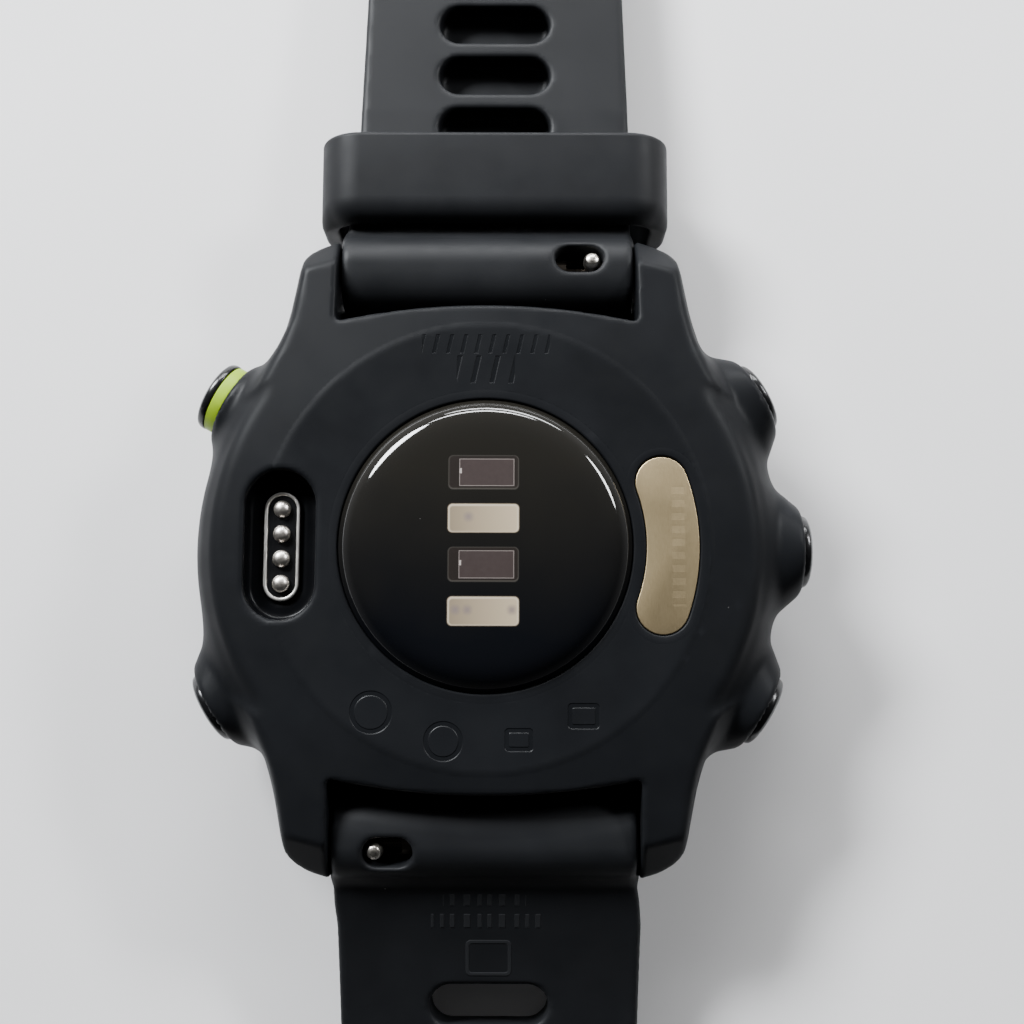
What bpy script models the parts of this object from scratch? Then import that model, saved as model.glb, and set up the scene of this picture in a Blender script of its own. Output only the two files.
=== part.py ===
"""GPS running watch, lying on its glass with the strap open.

The frame: the origin is the centre of the glass's outer face, +Z points to the wrist side,
+Y to the buckle end of the strap and +X to the side with three buttons. Units are metres.
"""

import math

import bmesh
import bpy
from mathutils import Matrix, Vector

MM = 0.001
FIT = 0.06 * MM  # gap between two pieces that touch
RUN = 0.10 * MM  # gap around a piece that slides or turns

# Case
CASE_R = 19.3 * MM
CASE_FRONT_Z = 2.9 * MM
BACK_Z = 10.3 * MM
CASE_WALL = 1.2 * MM
CAVITY_R = 17.3 * MM
CAVITY_FLAT = 14.4 * MM  # half-width of the hollow across the strap ends
LUG_INNER_X = 10.1 * MM
LUG_TIP_Y = 21.5 * MM
POCKET_CORNER_Y = 15.15 * MM
POCKET_MIDDLE_Y = 15.95 * MM
SHELF_Y = 17.8 * MM  # lip under the strap barrel
SHELF_Z = 3.6 * MM
FLOOR_Z = -0.25 * MM  # the bezel's rim, on which the watch lies

# Glass, bezel and display
GLASS_R = 15.6 * MM
GLASS_T = 1.1 * MM
LEDGE_R = 14.2 * MM
LEDGE_Z = 1.4 * MM
DISPLAY_R = 14.0 * MM
DISPLAY_Z = (1.16 * MM, 2.55 * MM)

# Heart-rate sensor
WINDOW_R = 9.65 * MM
WINDOW_FOOT_Z = 9.35 * MM
MASK_R = 8.5 * MM
EMITTER_SIZE = (4.65 * MM, 1.95 * MM)
DETECTOR_SIZE = (4.65 * MM, 2.3 * MM)
OPTIC_PITCH = 2.95 * MM
OPTIC_X = -0.1 * MM
OPTIC_TOP_Z = 10.4 * MM
SENSOR_BOARD_Z = (8.6 * MM, 9.2 * MM)

# Charging port
PORT_X = -13.36 * MM
PORT_SIZE = (4.7 * MM, 9.9 * MM)
PORT_FLOOR_Z = 8.5 * MM
PORT_HOUSING_Z = 7.5 * MM
TRIM_SIZE = (2.36 * MM, 7.2 * MM)
TRIM_W = 0.22 * MM
CONTACT_PITCH = 1.63 * MM
CONTACT_R = 0.57 * MM
CONTACT_PIN_R = 0.4 * MM

# Serial plate, a curved slot shape beside the sensor
PLATE_R = 12.1 * MM
PLATE_W = 3.4 * MM
PLATE_HALF_ANGLE = math.radians(19.6)
PLATE_Z = (9.95 * MM, 10.25 * MM)

# Buttons: name, angle round the case
# name, angle round the case, and how far its boss and cap stand out beyond the figures below
BUTTONS = (
    ("start", 150, -0.35 * MM),
    ("back", 210, -0.5 * MM),
    ("light", 30, -0.2 * MM),
    ("up", 0, -0.2 * MM),
    ("down", 330, -0.2 * MM),
)
BUTTON_Z = 5.7 * MM
CAP_R = 2.45 * MM
CAP_FACE = 22.0 * MM
CAP_FOOT = 20.65 * MM
ACCENT_W = 0.72 * MM  # start button only
COUNTERBORE_FLOOR = 20.1 * MM
STEM_R = 0.75 * MM
STEM_END = 16.1 * MM
COLLAR_R = 1.25 * MM
SEAL_AT = 18.75 * MM
SEAL_SECTION_R = 0.26 * MM
GROOVE_R = 1.42 * MM
SWITCH_FACE = 15.5 * MM

# Strap, in its own frame: the spring bar is at the origin and +Y runs out along the strap
BAR_Y = 19.25 * MM
BAR_Z = 6.2 * MM
BARREL_R = 2.4 * MM
BARREL_HALF_W = 9.9 * MM
STRAP_T = 2.3 * MM
STRAP_EXTRA_T = 0.7 * MM  # near the case
STRAP_THINNING = (12.0 * MM, 30.0 * MM)  # where that extra tapers off
STRAP_HALF_W = 10.1 * MM
STRAP_TAPER = 0.02
STRAP_MIN_HALF_W = 9.0 * MM
STRAP_NECK_Y = 4.4 * MM
SLOT_FIRST_Y = 10.75 * MM
SLOT_PITCH = 4.0 * MM
SLOT_SIZE = (7.8 * MM, 2.8 * MM)
POCKET_DEPTH = 1.7 * MM
UPPER_REST_Z = -3.8 * MM  # middle of the strap where it levels out
LOWER_REST_Z = -5.28 * MM
UPPER_FALL = 50.0 * MM  # length over which it levels out
LOWER_FALL = 24.0 * MM
UPPER_LENGTH = 68.85 * MM  # spring bar to buckle bar
LOWER_LENGTH = 117.85 * MM
UPPER_SLOTS = 9
LOWER_SLOTS = 24

# Quick-release spring bar, along X
TUBE_R = 0.9 * MM
TUBE_HALF = 9.6 * MM
TUBE_BORE_R = 0.6 * MM
TIP_R = 0.4 * MM
TIP_END = 10.95 * MM
PIN_R = 0.5 * MM
KNOB_X = 7.1 * MM
KNOB_R = 0.57 * MM
KNOB_TOP = 2.15 * MM
KNOB_LEAN = math.radians(-12)  # the knob and its window lean away from the case
RELEASE_TRAVEL = 1.3 * MM
RELEASE_WINDOW = (4.55 * MM, 7.95 * MM, 2.2 * MM)  # from X, to X, width

# Keepers
KEEPER_L = 6.3 * MM
FIXED_KEEPER_L = 5.5 * MM
KEEPER_WALL = 1.3 * MM
KEEPER_H = 8.3 * MM
KEEPER_HALF_W = 12.0 * MM
KEEPER_CORNER = 3.0 * MM
KEEPER_INNER_CORNER = 1.2 * MM
KEEPER_Y = 25.6 * MM
KEEPER_SHIFT_X = 0.45 * MM
FIXED_KEEPER_Y = 59.65 * MM  # in the strap's frame

# Buckle, in a frame with its bar at the origin
BUCKLE_BAR_R = 0.75 * MM
BUCKLE_EYE_R = 1.8 * MM
BUCKLE_ARM_X = (9.35 * MM, 11.4 * MM)
BUCKLE_END_Y = 10.4 * MM
BUCKLE_CROSS_Y = 8.4 * MM
BUCKLE_T = 2.2 * MM
TANG_W = 6.4 * MM
TANG_T = 1.2 * MM
TANG_LENGTH = 10.6 * MM

DOWN = -1
UP = 1


def clear_scene():
    for obj in list(bpy.data.objects):
        bpy.data.objects.remove(obj, do_unlink=True)


# ---------------------------------------------------------------- materials


def material(name, colour, roughness, metallic=0.0, transmission=0.0):
    made = bpy.data.materials.new(name)
    made.use_nodes = True
    shader = made.node_tree.nodes["Principled BSDF"]
    shader.inputs["Base Color"].default_value = (*colour, 1.0)
    shader.inputs["Roughness"].default_value = roughness
    shader.inputs["Metallic"].default_value = metallic
    shader.inputs["Transmission Weight"].default_value = transmission
    return made


def make_materials():
    return {
        "case": material("case_polymer", (0.012, 0.013, 0.016), 0.55),
        "strap": material("strap_rubber", (0.012, 0.013, 0.015), 0.6),
        "cap": material("button_black", (0.008, 0.008, 0.009), 0.25),
        "accent": material("accent_green", (0.35, 0.60, 0.02), 0.4),
        "steel": material("steel", (0.62, 0.60, 0.56), 0.25, 1.0),
        "plate": material("brushed_plate", (0.46, 0.41, 0.31), 0.38, 1.0),
        "buckle": material("black_steel", (0.05, 0.05, 0.055), 0.3, 1.0),
        "glass": material("clear_glass", (0.9, 0.9, 0.9), 0.03, 0.0, 1.0),
        "mask": material("optical_mask", (0.004, 0.004, 0.004), 0.2),
        "emitter": material("emitter_resin", (0.66, 0.61, 0.50), 0.45),
        "detector": material("detector_die", (0.07, 0.055, 0.06), 0.25),
        "seal": material("seal_rubber", (0.02, 0.02, 0.02), 0.7),
        "display": material("display_panel", (0.02, 0.025, 0.025), 0.15),
        "frame": material("frame_plastic", (0.05, 0.05, 0.05), 0.5),
        "board": material("board_green", (0.02, 0.12, 0.05), 0.45),
        "battery": material("battery_foil", (0.45, 0.46, 0.48), 0.35, 0.6),
    }


# ---------------------------------------------------------------- shape tools


def link(name, bm, finish=None):
    """A mesh object from bm, with its faces turned outwards."""
    bmesh.ops.recalc_face_normals(bm, faces=bm.faces)
    mesh = bpy.data.meshes.new(name)
    bm.to_mesh(mesh)
    bm.free()
    obj = bpy.data.objects.new(name, mesh)
    bpy.context.scene.collection.objects.link(obj)
    if finish:
        mesh.materials.append(finish)
        mesh.shade_smooth()
        mesh.set_sharp_from_angle(angle=math.radians(35))
    return obj


def add_loft(bm, rings):
    """Joins rings of equally many points by quads, and closes both ends."""
    loops = [[bm.verts.new(point) for point in ring] for ring in rings]
    count = len(loops[0])
    for near, far in zip(loops, loops[1:]):
        for i in range(count):
            j = (i + 1) % count
            bm.faces.new((near[i], near[j], far[j], far[i]))
    bm.faces.new(list(reversed(loops[0])))
    bm.faces.new(loops[-1])


def loft(name, rings, finish=None):
    bm = bmesh.new()
    add_loft(bm, rings)
    return link(name, bm, finish)


def prism(name, outline, low, high, finish=None):
    """An outline in XY, raised from low to high."""
    rings = [[(x, y, z) for x, y in outline] for z in (low, high)]
    return loft(name, rings, finish)


def lathe(name, profile, segments, finish=None, ring=False, at=(0, 0)):
    """Turns (radius, z) points about Z. A radius of 0 is a pole; ring closes the profile on itself."""
    bm = bmesh.new()
    turns = [math.tau * i / segments for i in range(segments)]
    rows = []
    for radius, z in profile:
        angles = turns if radius > 0 else [0.0]
        rows.append([
            bm.verts.new((at[0] + radius * math.cos(a), at[1] + radius * math.sin(a), z))
            for a in angles
        ])
    pairs = list(zip(rows, rows[1:]))
    if ring:
        pairs.append((rows[-1], rows[0]))
    for near, far in pairs:
        for i in range(segments):
            j = (i + 1) % segments
            corners = [near[i % len(near)], near[j % len(near)], far[j % len(far)], far[i % len(far)]]
            bm.faces.new(list(dict.fromkeys(corners)))
    return link(name, bm, finish)


def ellipse_points(centre, half_x, half_y, count):
    turns = [math.tau * i / count for i in range(count)]
    return [(centre[0] + half_x * math.cos(a), centre[1] + half_y * math.sin(a)) for a in turns]


def rounded_box_points(half_x, half_y, corner, steps=4, centre=(0, 0)):
    """A rectangle with round corners, counter-clockwise; steps segments in each corner."""
    points = []
    for quarter, (sx, sy) in enumerate(((1, 1), (-1, 1), (-1, -1), (1, -1))):
        for k in range(steps + 1):
            a = math.pi / 2 * (quarter + k / steps)
            x = sx * (half_x - corner) + corner * math.cos(a)
            y = sy * (half_y - corner) + corner * math.sin(a)
            points.append((centre[0] + x, centre[1] + y))
    return points


def stadium_points(half_x, half_y, steps=6, centre=(0, 0)):
    """A slot shape: straight sides along its longer way, half-round ends."""
    corner = min(half_x, half_y) * 0.998
    return rounded_box_points(half_x, half_y, corner, steps, centre)


def flatted_disc_points(radius, flat, count=48):
    """A disc cut off at y = flat and y = -flat."""
    points = ellipse_points((0, 0), radius, radius, count)
    edge_x = math.sqrt(radius**2 - flat**2)
    kept = [(x, y) for x, y in points if abs(y) < flat]
    kept += [(sx * edge_x, sy * flat) for sx in (UP, DOWN) for sy in (UP, DOWN)]
    return sorted(kept, key=lambda p: math.atan2(p[1], p[0]))


def boolean(target, tool, operation="DIFFERENCE"):
    modifier = target.modifiers.new(f"{operation.lower()}_{tool.name}", "BOOLEAN")
    modifier.operation = operation
    modifier.object = tool
    modifier.solver = "EXACT"
    tool.hide_render = True
    tool.display_type = "WIRE"
    return target


def empty(name, location, rotation=(0, 0, 0), parent=None):
    made = bpy.data.objects.new(name, None)
    bpy.context.scene.collection.objects.link(made)
    made.location = location
    made.rotation_euler = rotation
    made.parent = parent
    return made


def along_x(obj):
    """Turns a mesh made about Z so that its axis is +X."""
    obj.data.transform(Matrix.Rotation(math.pi / 2, 4, "Y"))
    return obj


# ---------------------------------------------------------------- case


def lug_points(y, outer_x, front_z, back_z, corner):
    """One cross-section of a lug, in XZ at y; it runs inside the strap pocket's cut at its inner side."""
    inner_x = LUG_INNER_X - 3 * MM
    half_x, half_z = (outer_x - inner_x) / 2, (back_z - front_z) / 2
    middle = ((outer_x + inner_x) / 2, (back_z + front_z) / 2)
    return [(x, y, z) for x, z in rounded_box_points(half_x, half_z, corner, 2, middle)]


def lug(name, sign_x, sign_y):
    sections = (
        (9.0, 15.9, 3.0, 9.2, 0.8),
        (13.3, 14.5, 2.95, 9.6, 1.0),
        (15.6, 13.9, 2.95, 9.45, 1.1),
        (18.2, 13.45, 3.1, 9.1, 1.1),
        (19.6, 13.0, 3.4, 8.75, 1.1),
        (20.6, 12.3, 3.9, 8.25, 1.0),
        (21.2, 11.5, 4.5, 7.6, 0.8),
        (21.5, 10.9, 5.0, 7.0, 0.5),
    )
    rings = []
    for numbers in sections:
        y, outer_x, front_z, back_z, corner = (n * MM for n in numbers)
        rings.append([(sign_x * px, sign_y * py, pz)
                      for px, py, pz in lug_points(y, outer_x, front_z, back_z, corner)])
    return loft(name, rings)


def pocket(name, sign_y):
    """The cut between two lugs; the case wall there is a shallow arc."""
    steps = 10
    outline = []
    for k in range(steps + 1):
        x = LUG_INNER_X * (1 - 2 * k / steps)
        rise = (POCKET_MIDDLE_Y - POCKET_CORNER_Y) * (1 - (x / LUG_INNER_X) ** 2)
        outline.append((x, sign_y * (POCKET_CORNER_Y + rise)))
    far = LUG_TIP_Y + 2 * MM
    outline += [(-LUG_INNER_X, sign_y * far), (LUG_INNER_X, sign_y * far)]
    return prism(name, outline, SHELF_Z, BACK_Z + MM)


def lip_cut(name, sign_y):
    """The pocket goes right through outside a lip under the strap's barrel."""
    far = LUG_TIP_Y + 2 * MM
    outline = [(LUG_INNER_X, sign_y * SHELF_Y), (-LUG_INNER_X, sign_y * SHELF_Y),
               (-LUG_INNER_X, sign_y * far), (LUG_INNER_X, sign_y * far)]
    return prism(name, outline, CASE_FRONT_Z - MM, SHELF_Z + 0.5 * MM)


def boss(name, angle, reach):
    """The bulge round a button: an oval cone along the button's axis."""
    out = reach / MM
    stations = (
        (15.5, 5.6, 2.65), (18.9, 4.9, 2.65), (19.35, 4.6, 2.72), (19.9 + out, 4.2, 2.95),
        (20.5 + out, 3.6, 2.95), (20.95 + out, 3.0, 2.8),
    )
    turn = Matrix.Rotation(math.radians(angle), 4, "Z")
    rings = []
    for numbers in stations:
        axial, half_w, half_h = (n * MM for n in numbers)
        oval = ellipse_points((0, BUTTON_Z), half_w, half_h, 16)
        rings.append([turn @ Vector((axial, y, z)) for y, z in oval])
    return loft(name, rings)


def button_bore(name, angle, reach):
    """Counterbore for the cap, bore for the stem and groove for the seal, as one cutter."""
    groove = 0.35 * MM
    seat = COUNTERBORE_FLOOR + reach
    profile = (
        (0, 16.0 * MM), (STEM_R + RUN, 16.0 * MM), (STEM_R + RUN, SEAL_AT - groove),
        (GROOVE_R, SEAL_AT - groove), (GROOVE_R, SEAL_AT + groove), (STEM_R + RUN, SEAL_AT + groove),
        (STEM_R + RUN, seat), (CAP_R + RUN, seat), (CAP_R + RUN, 24.0 * MM), (0, 24.0 * MM),
    )
    tool = along_x(lathe(name, profile, 16))
    place = Matrix.Translation((0, 0, BUTTON_Z)) @ Matrix.Rotation(math.radians(angle), 4, "Z")
    tool.data.transform(place)
    return tool


def plate_points(grow):
    """The serial plate's outline: an arc band with half-round ends."""
    points = []
    half = PLATE_W / 2 + grow
    end_steps, arc_steps = 6, 8
    for sign in (UP, DOWN):
        for k in range(arc_steps + 1):
            a = PLATE_HALF_ANGLE * sign * (2 * k / arc_steps - 1)
            r = PLATE_R + sign * half
            points.append((r * math.cos(a), r * math.sin(a)))
        end = sign * PLATE_HALF_ANGLE
        centre = (PLATE_R * math.cos(end), PLATE_R * math.sin(end))
        for k in range(1, end_steps):
            a = end + math.pi * (k / end_steps) + (0 if sign == UP else math.pi)
            points.append((centre[0] + half * math.cos(a), centre[1] + half * math.sin(a)))
    return points


def rear_case(finish):
    profile = [(r * MM, z * MM) for r, z in (
        (0, 10.3), (14.5, 10.3), (14.75, 10.14), (16.6, 9.9), (17.7, 9.6), (18.4, 9.1),
        (18.9, 8.3), (19.2, 7.2), (19.3, 5.9), (19.3, 2.9), (0, 2.9),
    )]
    case = lathe("rear_case", profile, 56, finish)
    for sx in (UP, DOWN):
        for sy in (UP, DOWN):
            boolean(case, lug(f"lug_tool_{sx}_{sy}", sx, sy), "UNION")
    for name, angle, reach in BUTTONS:
        boolean(case, boss(f"boss_tool_{name}", angle, reach), "UNION")
    for sy in (UP, DOWN):
        boolean(case, pocket(f"pocket_tool_{sy}", sy))
        boolean(case, lip_cut(f"lip_tool_{sy}", sy))
    hollow = flatted_disc_points(CAVITY_R, CAVITY_FLAT)
    boolean(case, prism("hollow_tool", hollow, CASE_FRONT_Z - MM, BACK_Z - CASE_WALL))
    housing = stadium_points(PORT_SIZE[0] / 2 + 0.9 * MM, PORT_SIZE[1] / 2 + 0.9 * MM, 6, (PORT_X, 0))
    boolean(case, prism("port_housing_tool", housing, PORT_HOUSING_Z, BACK_Z - CASE_WALL / 2), "UNION")
    port = stadium_points(PORT_SIZE[0] / 2, PORT_SIZE[1] / 2, 6, (PORT_X, 0))
    boolean(case, prism("port_tool", port, PORT_FLOOR_Z, BACK_Z + MM))
    block = stadium_points(TRIM_SIZE[0] / 2 + FIT, TRIM_SIZE[1] / 2 + FIT, 6, (PORT_X, 0))
    boolean(case, prism("port_block_tool", block, PORT_HOUSING_Z - MM, BACK_Z))
    boolean(case, prism("plate_tool", plate_points(FIT), PLATE_Z[0] - FIT, BACK_Z + MM))
    window = ellipse_points((0, 0), WINDOW_R + FIT, WINDOW_R + FIT, 48)
    boolean(case, prism("window_tool", window, BACK_Z - 2 * CASE_WALL, BACK_Z + MM))
    for name, angle, reach in BUTTONS:
        boolean(case, button_bore(f"bore_tool_{name}", angle, reach))
    for sy in (UP, DOWN):
        hole = along_x(lathe(f"bar_hole_tool_{sy}", [
            (0, -TIP_END - 0.3 * MM), (TIP_R + RUN, -TIP_END - 0.3 * MM),
            (TIP_R + RUN, TIP_END + 0.3 * MM), (0, TIP_END + 0.3 * MM),
        ], 16))
        hole.data.transform(Matrix.Translation((0, sy * BAR_Y, BAR_Z)))
        boolean(case, hole)
    return case


# ---------------------------------------------------------------- front: bezel, glass and display


def front_pieces(finishes):
    bezel = [(r * MM, z * MM) for r, z in (
        (15.72, 0.05), (16.0, -0.25), (17.7, -0.25), (18.6, 0.1), (19.15, 0.8), (19.3, 1.7),
        (19.3, 2.84), (17.1, 2.84), (17.1, 2.3), (14.2, 2.3), (14.2, 1.4), (15.72, 1.4),
    )]
    lathe("front_bezel", bezel, 56, finishes["case"], ring=True)
    edge = 0.2 * MM
    lathe("front_lens", [
        (0, 0), (GLASS_R - edge, 0), (GLASS_R, edge), (GLASS_R, GLASS_T), (0, GLASS_T),
    ], 48, finishes["glass"])
    seal = (LEDGE_R + 0.2 * MM, GLASS_R - 0.1 * MM)
    low, high = GLASS_T + FIT, LEDGE_Z - FIT
    lathe("lens_gasket", [(seal[0], low), (seal[1], low), (seal[1], high), (seal[0], high)],
          32, finishes["seal"], ring=True)
    lathe("display_panel", [(0, DISPLAY_Z[0]), (DISPLAY_R, DISPLAY_Z[0]), (DISPLAY_R, DISPLAY_Z[1]), (0, DISPLAY_Z[1])],
          40, finishes["display"])


# ---------------------------------------------------------------- inside


def box_piece(name, centre, size, corner, z, finish):
    return prism(name, rounded_box_points(size[0] / 2, size[1] / 2, corner, 2, centre), z[0], z[1], finish)


def inner_pieces(finishes):
    frame = prism("inner_frame", flatted_disc_points(17.1 * MM, 14.2 * MM, 36), 2.95 * MM, 3.45 * MM, finishes["frame"])
    flex = prism("flex_tool", rounded_box_points(7 * MM, 4 * MM, MM, 2), 2 * MM, 4 * MM)
    boolean(frame, flex)
    prism("main_board", flatted_disc_points(16.9 * MM, 14.0 * MM, 36), 3.55 * MM, 4.25 * MM, finishes["board"])
    box_piece("board_shield", (0, 2 * MM), (13 * MM, 9 * MM), MM, (4.31 * MM, 5.2 * MM), finishes["steel"])
    box_piece("battery", (0, 2 * MM), (19 * MM, 15.5 * MM), 1.5 * MM, (5.3 * MM, 8.1 * MM), finishes["battery"])
    box_piece("gps_antenna", (0, 13.2 * MM), (14 * MM, 1.4 * MM), 0.3 * MM, (4.31 * MM, 7.0 * MM), finishes["plate"])
    motor_pieces(finishes)


def motor_pieces(finishes):
    """Coin vibration motor: a can with a post, and an eccentric weight that turns on it."""
    centre = (0, -10.1 * MM)
    can = [(r * MM, z * MM) for r, z in (
        (0, 4.31), (4.0, 4.31), (4.0, 7.1), (0.7, 7.1), (0.7, 6.8), (3.7, 6.8),
        (3.7, 4.6), (0.4, 4.6), (0.4, 6.4), (0, 6.4),
    )]
    lathe("vibration_motor_can", can, 32, finishes["steel"], at=centre)
    hub_r, rim_r, hole_r = 0.9 * MM, 3.4 * MM, 0.5 * MM
    steps = 14
    outer = []
    for k in range(steps):
        a = math.tau * k / steps
        radius = rim_r if math.sin(a) > -0.1 else hub_r
        outer.append((radius * math.cos(a), radius * math.sin(a)))
    weight = prism("vibration_motor_weight", outer, 5.0 * MM, 6.2 * MM, finishes["steel"])
    weight.location = (*centre, 0)
    hole = prism("weight_hole_tool", ellipse_points((0, 0), hole_r, hole_r, 12), 4 * MM, 7 * MM)
    hole.location = (*centre, 0)
    boolean(weight, hole)
    lathe("beeper_disc", [(0, 7.3 * MM), (4.0 * MM, 7.3 * MM), (4.0 * MM, 7.65 * MM), (0, 7.65 * MM)],
          24, finishes["plate"], at=centre)


# ---------------------------------------------------------------- heart-rate sensor


def optic_outlines(grow):
    """(name, outline) of the two detectors and the two emitters, from the top of the row down."""
    rows = (
        ("detector_upper", 1.5, DETECTOR_SIZE), ("emitter_upper", 0.5, EMITTER_SIZE),
        ("detector_lower", -0.5, DETECTOR_SIZE), ("emitter_lower", -1.5, EMITTER_SIZE),
    )
    for name, place, size in rows:
        centre = (OPTIC_X, place * OPTIC_PITCH + 0.1 * MM)
        yield name, rounded_box_points(size[0] / 2 + grow, size[1] / 2 + grow, 0.3 * MM, 2, centre)


def sensor_pieces(finishes):
    outer = [(r * MM, z * MM) for r, z in (
        (0, 11.55), (3, 11.51), (5.5, 11.39), (7.4, 11.2), (8.5, 10.98), (9.2, 10.65), (9.55, 10.3),
    )]
    foot = [(WINDOW_R, 10.1 * MM), (WINDOW_R, WINDOW_FOOT_Z), (MASK_R + FIT, WINDOW_FOOT_Z)]
    under = [(r * MM, z * MM) for r, z in ((8.56, 10.3), (7.4, 10.55), (5.5, 10.72), (3, 10.83), (0, 10.86))]
    lathe("sensor_window", outer + foot + under, 48, finishes["glass"])
    top = [(0, 10.79), (3, 10.76), (5.5, 10.65), (7.4, 10.48), (8.5, 10.2)]
    mask_profile = [(r * MM, z * MM) for r, z in top] + [(MASK_R, 9.28 * MM), (0, 9.28 * MM)]
    mask = lathe("sensor_mask", mask_profile, 32, finishes["mask"])
    for name, outline in optic_outlines(0):
        boolean(mask, prism(f"{name}_tool", outline, 9 * MM, 11.5 * MM))
    for name, outline in optic_outlines(-FIT):
        prism(name, outline, 9.28 * MM, OPTIC_TOP_Z, finishes["emitter" if "emitter" in name else "detector"])
    low, high = SENSOR_BOARD_Z
    radius = 9.3 * MM
    lathe("sensor_board", [(0, low), (radius, low), (radius, high), (0, high)], 32, finishes["board"])


# ---------------------------------------------------------------- charging port and serial plate


def port_pieces(finishes):
    top = PORT_FLOOR_Z + 0.3 * MM
    outline = stadium_points(TRIM_SIZE[0] / 2, TRIM_SIZE[1] / 2, 6, (PORT_X, 0))
    trim = prism("contact_trim", outline, PORT_FLOOR_Z, top, finishes["steel"])
    inside = stadium_points(TRIM_SIZE[0] / 2 - TRIM_W, TRIM_SIZE[1] / 2 - TRIM_W, 6, (PORT_X, 0))
    boolean(trim, prism("trim_tool", inside, PORT_FLOOR_Z - MM, top + MM))
    shrink = TRIM_W + FIT
    body = stadium_points(TRIM_SIZE[0] / 2 - shrink, TRIM_SIZE[1] / 2 - shrink, 6, (PORT_X, 0))
    block = prism("contact_block", body, PORT_HOUSING_Z, top - FIT, finishes["mask"])
    for k in range(4):
        y = (1.5 - k) * CONTACT_PITCH
        hole = ellipse_points((PORT_X, y), CONTACT_PIN_R + FIT, CONTACT_PIN_R + FIT, 12)
        boolean(block, prism(f"contact_hole_tool_{k}", hole, PORT_HOUSING_Z - MM, top + MM))
        profile = [
            (0, PORT_HOUSING_Z - 0.4 * MM), (CONTACT_PIN_R, PORT_HOUSING_Z - 0.4 * MM), (CONTACT_PIN_R, top),
            (CONTACT_R, top), (CONTACT_R, top + 0.12 * MM), (0.42 * MM, top + 0.32 * MM), (0.2 * MM, top + 0.42 * MM),
            (0, top + 0.44 * MM),
        ]
        lathe(f"charge_contact_{k + 1}", profile, 12, finishes["steel"], at=(PORT_X, y))
    prism("serial_plate", plate_points(0), *PLATE_Z, finishes["plate"])


# ---------------------------------------------------------------- buttons


def cap_profile(face, foot, hole_end):
    """A button cap about its axis, with a blind hole for the stem."""
    hole_r = STEM_R + FIT
    return [
        (0, face), (1.7 * MM, face - 0.03 * MM), (2.15 * MM, face - 0.12 * MM),
        (CAP_R, face - 0.4 * MM), (CAP_R, foot), (hole_r, foot), (hole_r, hole_end), (0, hole_end),
    ]


def button_pieces(name, angle, reach, finishes):
    axis = empty(f"{name}_axis", (0, 0, BUTTON_Z), (0, 0, math.radians(angle)))
    cap_foot = CAP_FOOT + reach
    accent_end = cap_foot + ACCENT_W
    has_accent = name == "start"
    foot = accent_end if has_accent else cap_foot
    profile = cap_profile(CAP_FACE + reach, foot, max(cap_foot + 0.6 * MM, foot + 0.1 * MM))
    cap = along_x(lathe(f"{name}_cap", profile, 16, finishes["cap"]))
    stem_top = cap_foot + 0.5 * MM
    collar = (CAVITY_R - 0.7 * MM, CAVITY_R - 0.2 * MM)
    stem = along_x(lathe(f"{name}_stem", [
        (0, STEM_END), (STEM_R, STEM_END), (STEM_R, collar[0]), (COLLAR_R, collar[0]), (COLLAR_R, collar[1]),
        (STEM_R, collar[1]), (STEM_R, stem_top), (0, stem_top),
    ], 12, finishes["steel"]))
    pieces = [cap, stem]
    if has_accent:
        r_out, r_in = CAP_R - 0.1 * MM, STEM_R + FIT
        ring = [(r_in, cap_foot), (r_out, cap_foot), (r_out, accent_end - FIT), (r_in, accent_end - FIT)]
        pieces.append(along_x(lathe("start_accent_ring", ring, 16, finishes["accent"], ring=True)))
    torus = []
    ring_r = STEM_R + RUN + SEAL_SECTION_R - 0.04 * MM
    for k in range(6):
        a = math.tau * k / 6
        torus.append((ring_r + SEAL_SECTION_R * math.cos(a), SEAL_AT + SEAL_SECTION_R * math.sin(a)))
    pieces.append(along_x(lathe(f"{name}_seal", torus, 12, finishes["seal"], ring=True)))
    body = rounded_box_points(1.6 * MM, 0.9 * MM, 0.15 * MM, 1)
    rings = [[(x, y, z) for y, z in body] for x in (SWITCH_FACE - 1.7 * MM, SWITCH_FACE)]
    pieces.append(loft(f"{name}_switch", rings, finishes["frame"]))
    for piece in pieces:
        piece.parent = axis


# ---------------------------------------------------------------- strap


def strap_middle(y, rest_z, fall):
    """Height of the strap's middle surface: it falls away from the barrel and levels out."""
    start_y, start_z = 2.4 * MM, -1.0 * MM
    share = min(1.0, max(0.0, (y - start_y) / fall))
    return start_z + (rest_z - start_z) * (1 - (1 - share) ** 2)


def strap_half_width(y):
    return max(STRAP_MIN_HALF_W, STRAP_HALF_W - STRAP_TAPER * y)


def strap_thickness(y):
    start, end = STRAP_THINNING
    return STRAP_T + STRAP_EXTRA_T * min(1.0, max(0.0, (end - y) / (end - start)))


def strap_ring(y_low, z_low, y_high, z_high, half_w):
    """Eight points round the strap: a thin box with its long edges cut off."""
    thick = z_high - z_low
    cut = min(0.5 * MM, 0.3 * thick)
    share = cut / thick
    low, high = Vector((0, y_low, z_low)), Vector((0, y_high, z_high))
    near_low, near_high = low.lerp(high, share), low.lerp(high, 1 - share)
    rows = ((low, half_w - cut), (near_low, half_w), (near_high, half_w), (high, half_w - cut))
    right = [(w, p.y, p.z) for p, w in rows]
    left = [(-w, p.y, p.z) for p, w in reversed(rows)]
    return right + left


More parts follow.
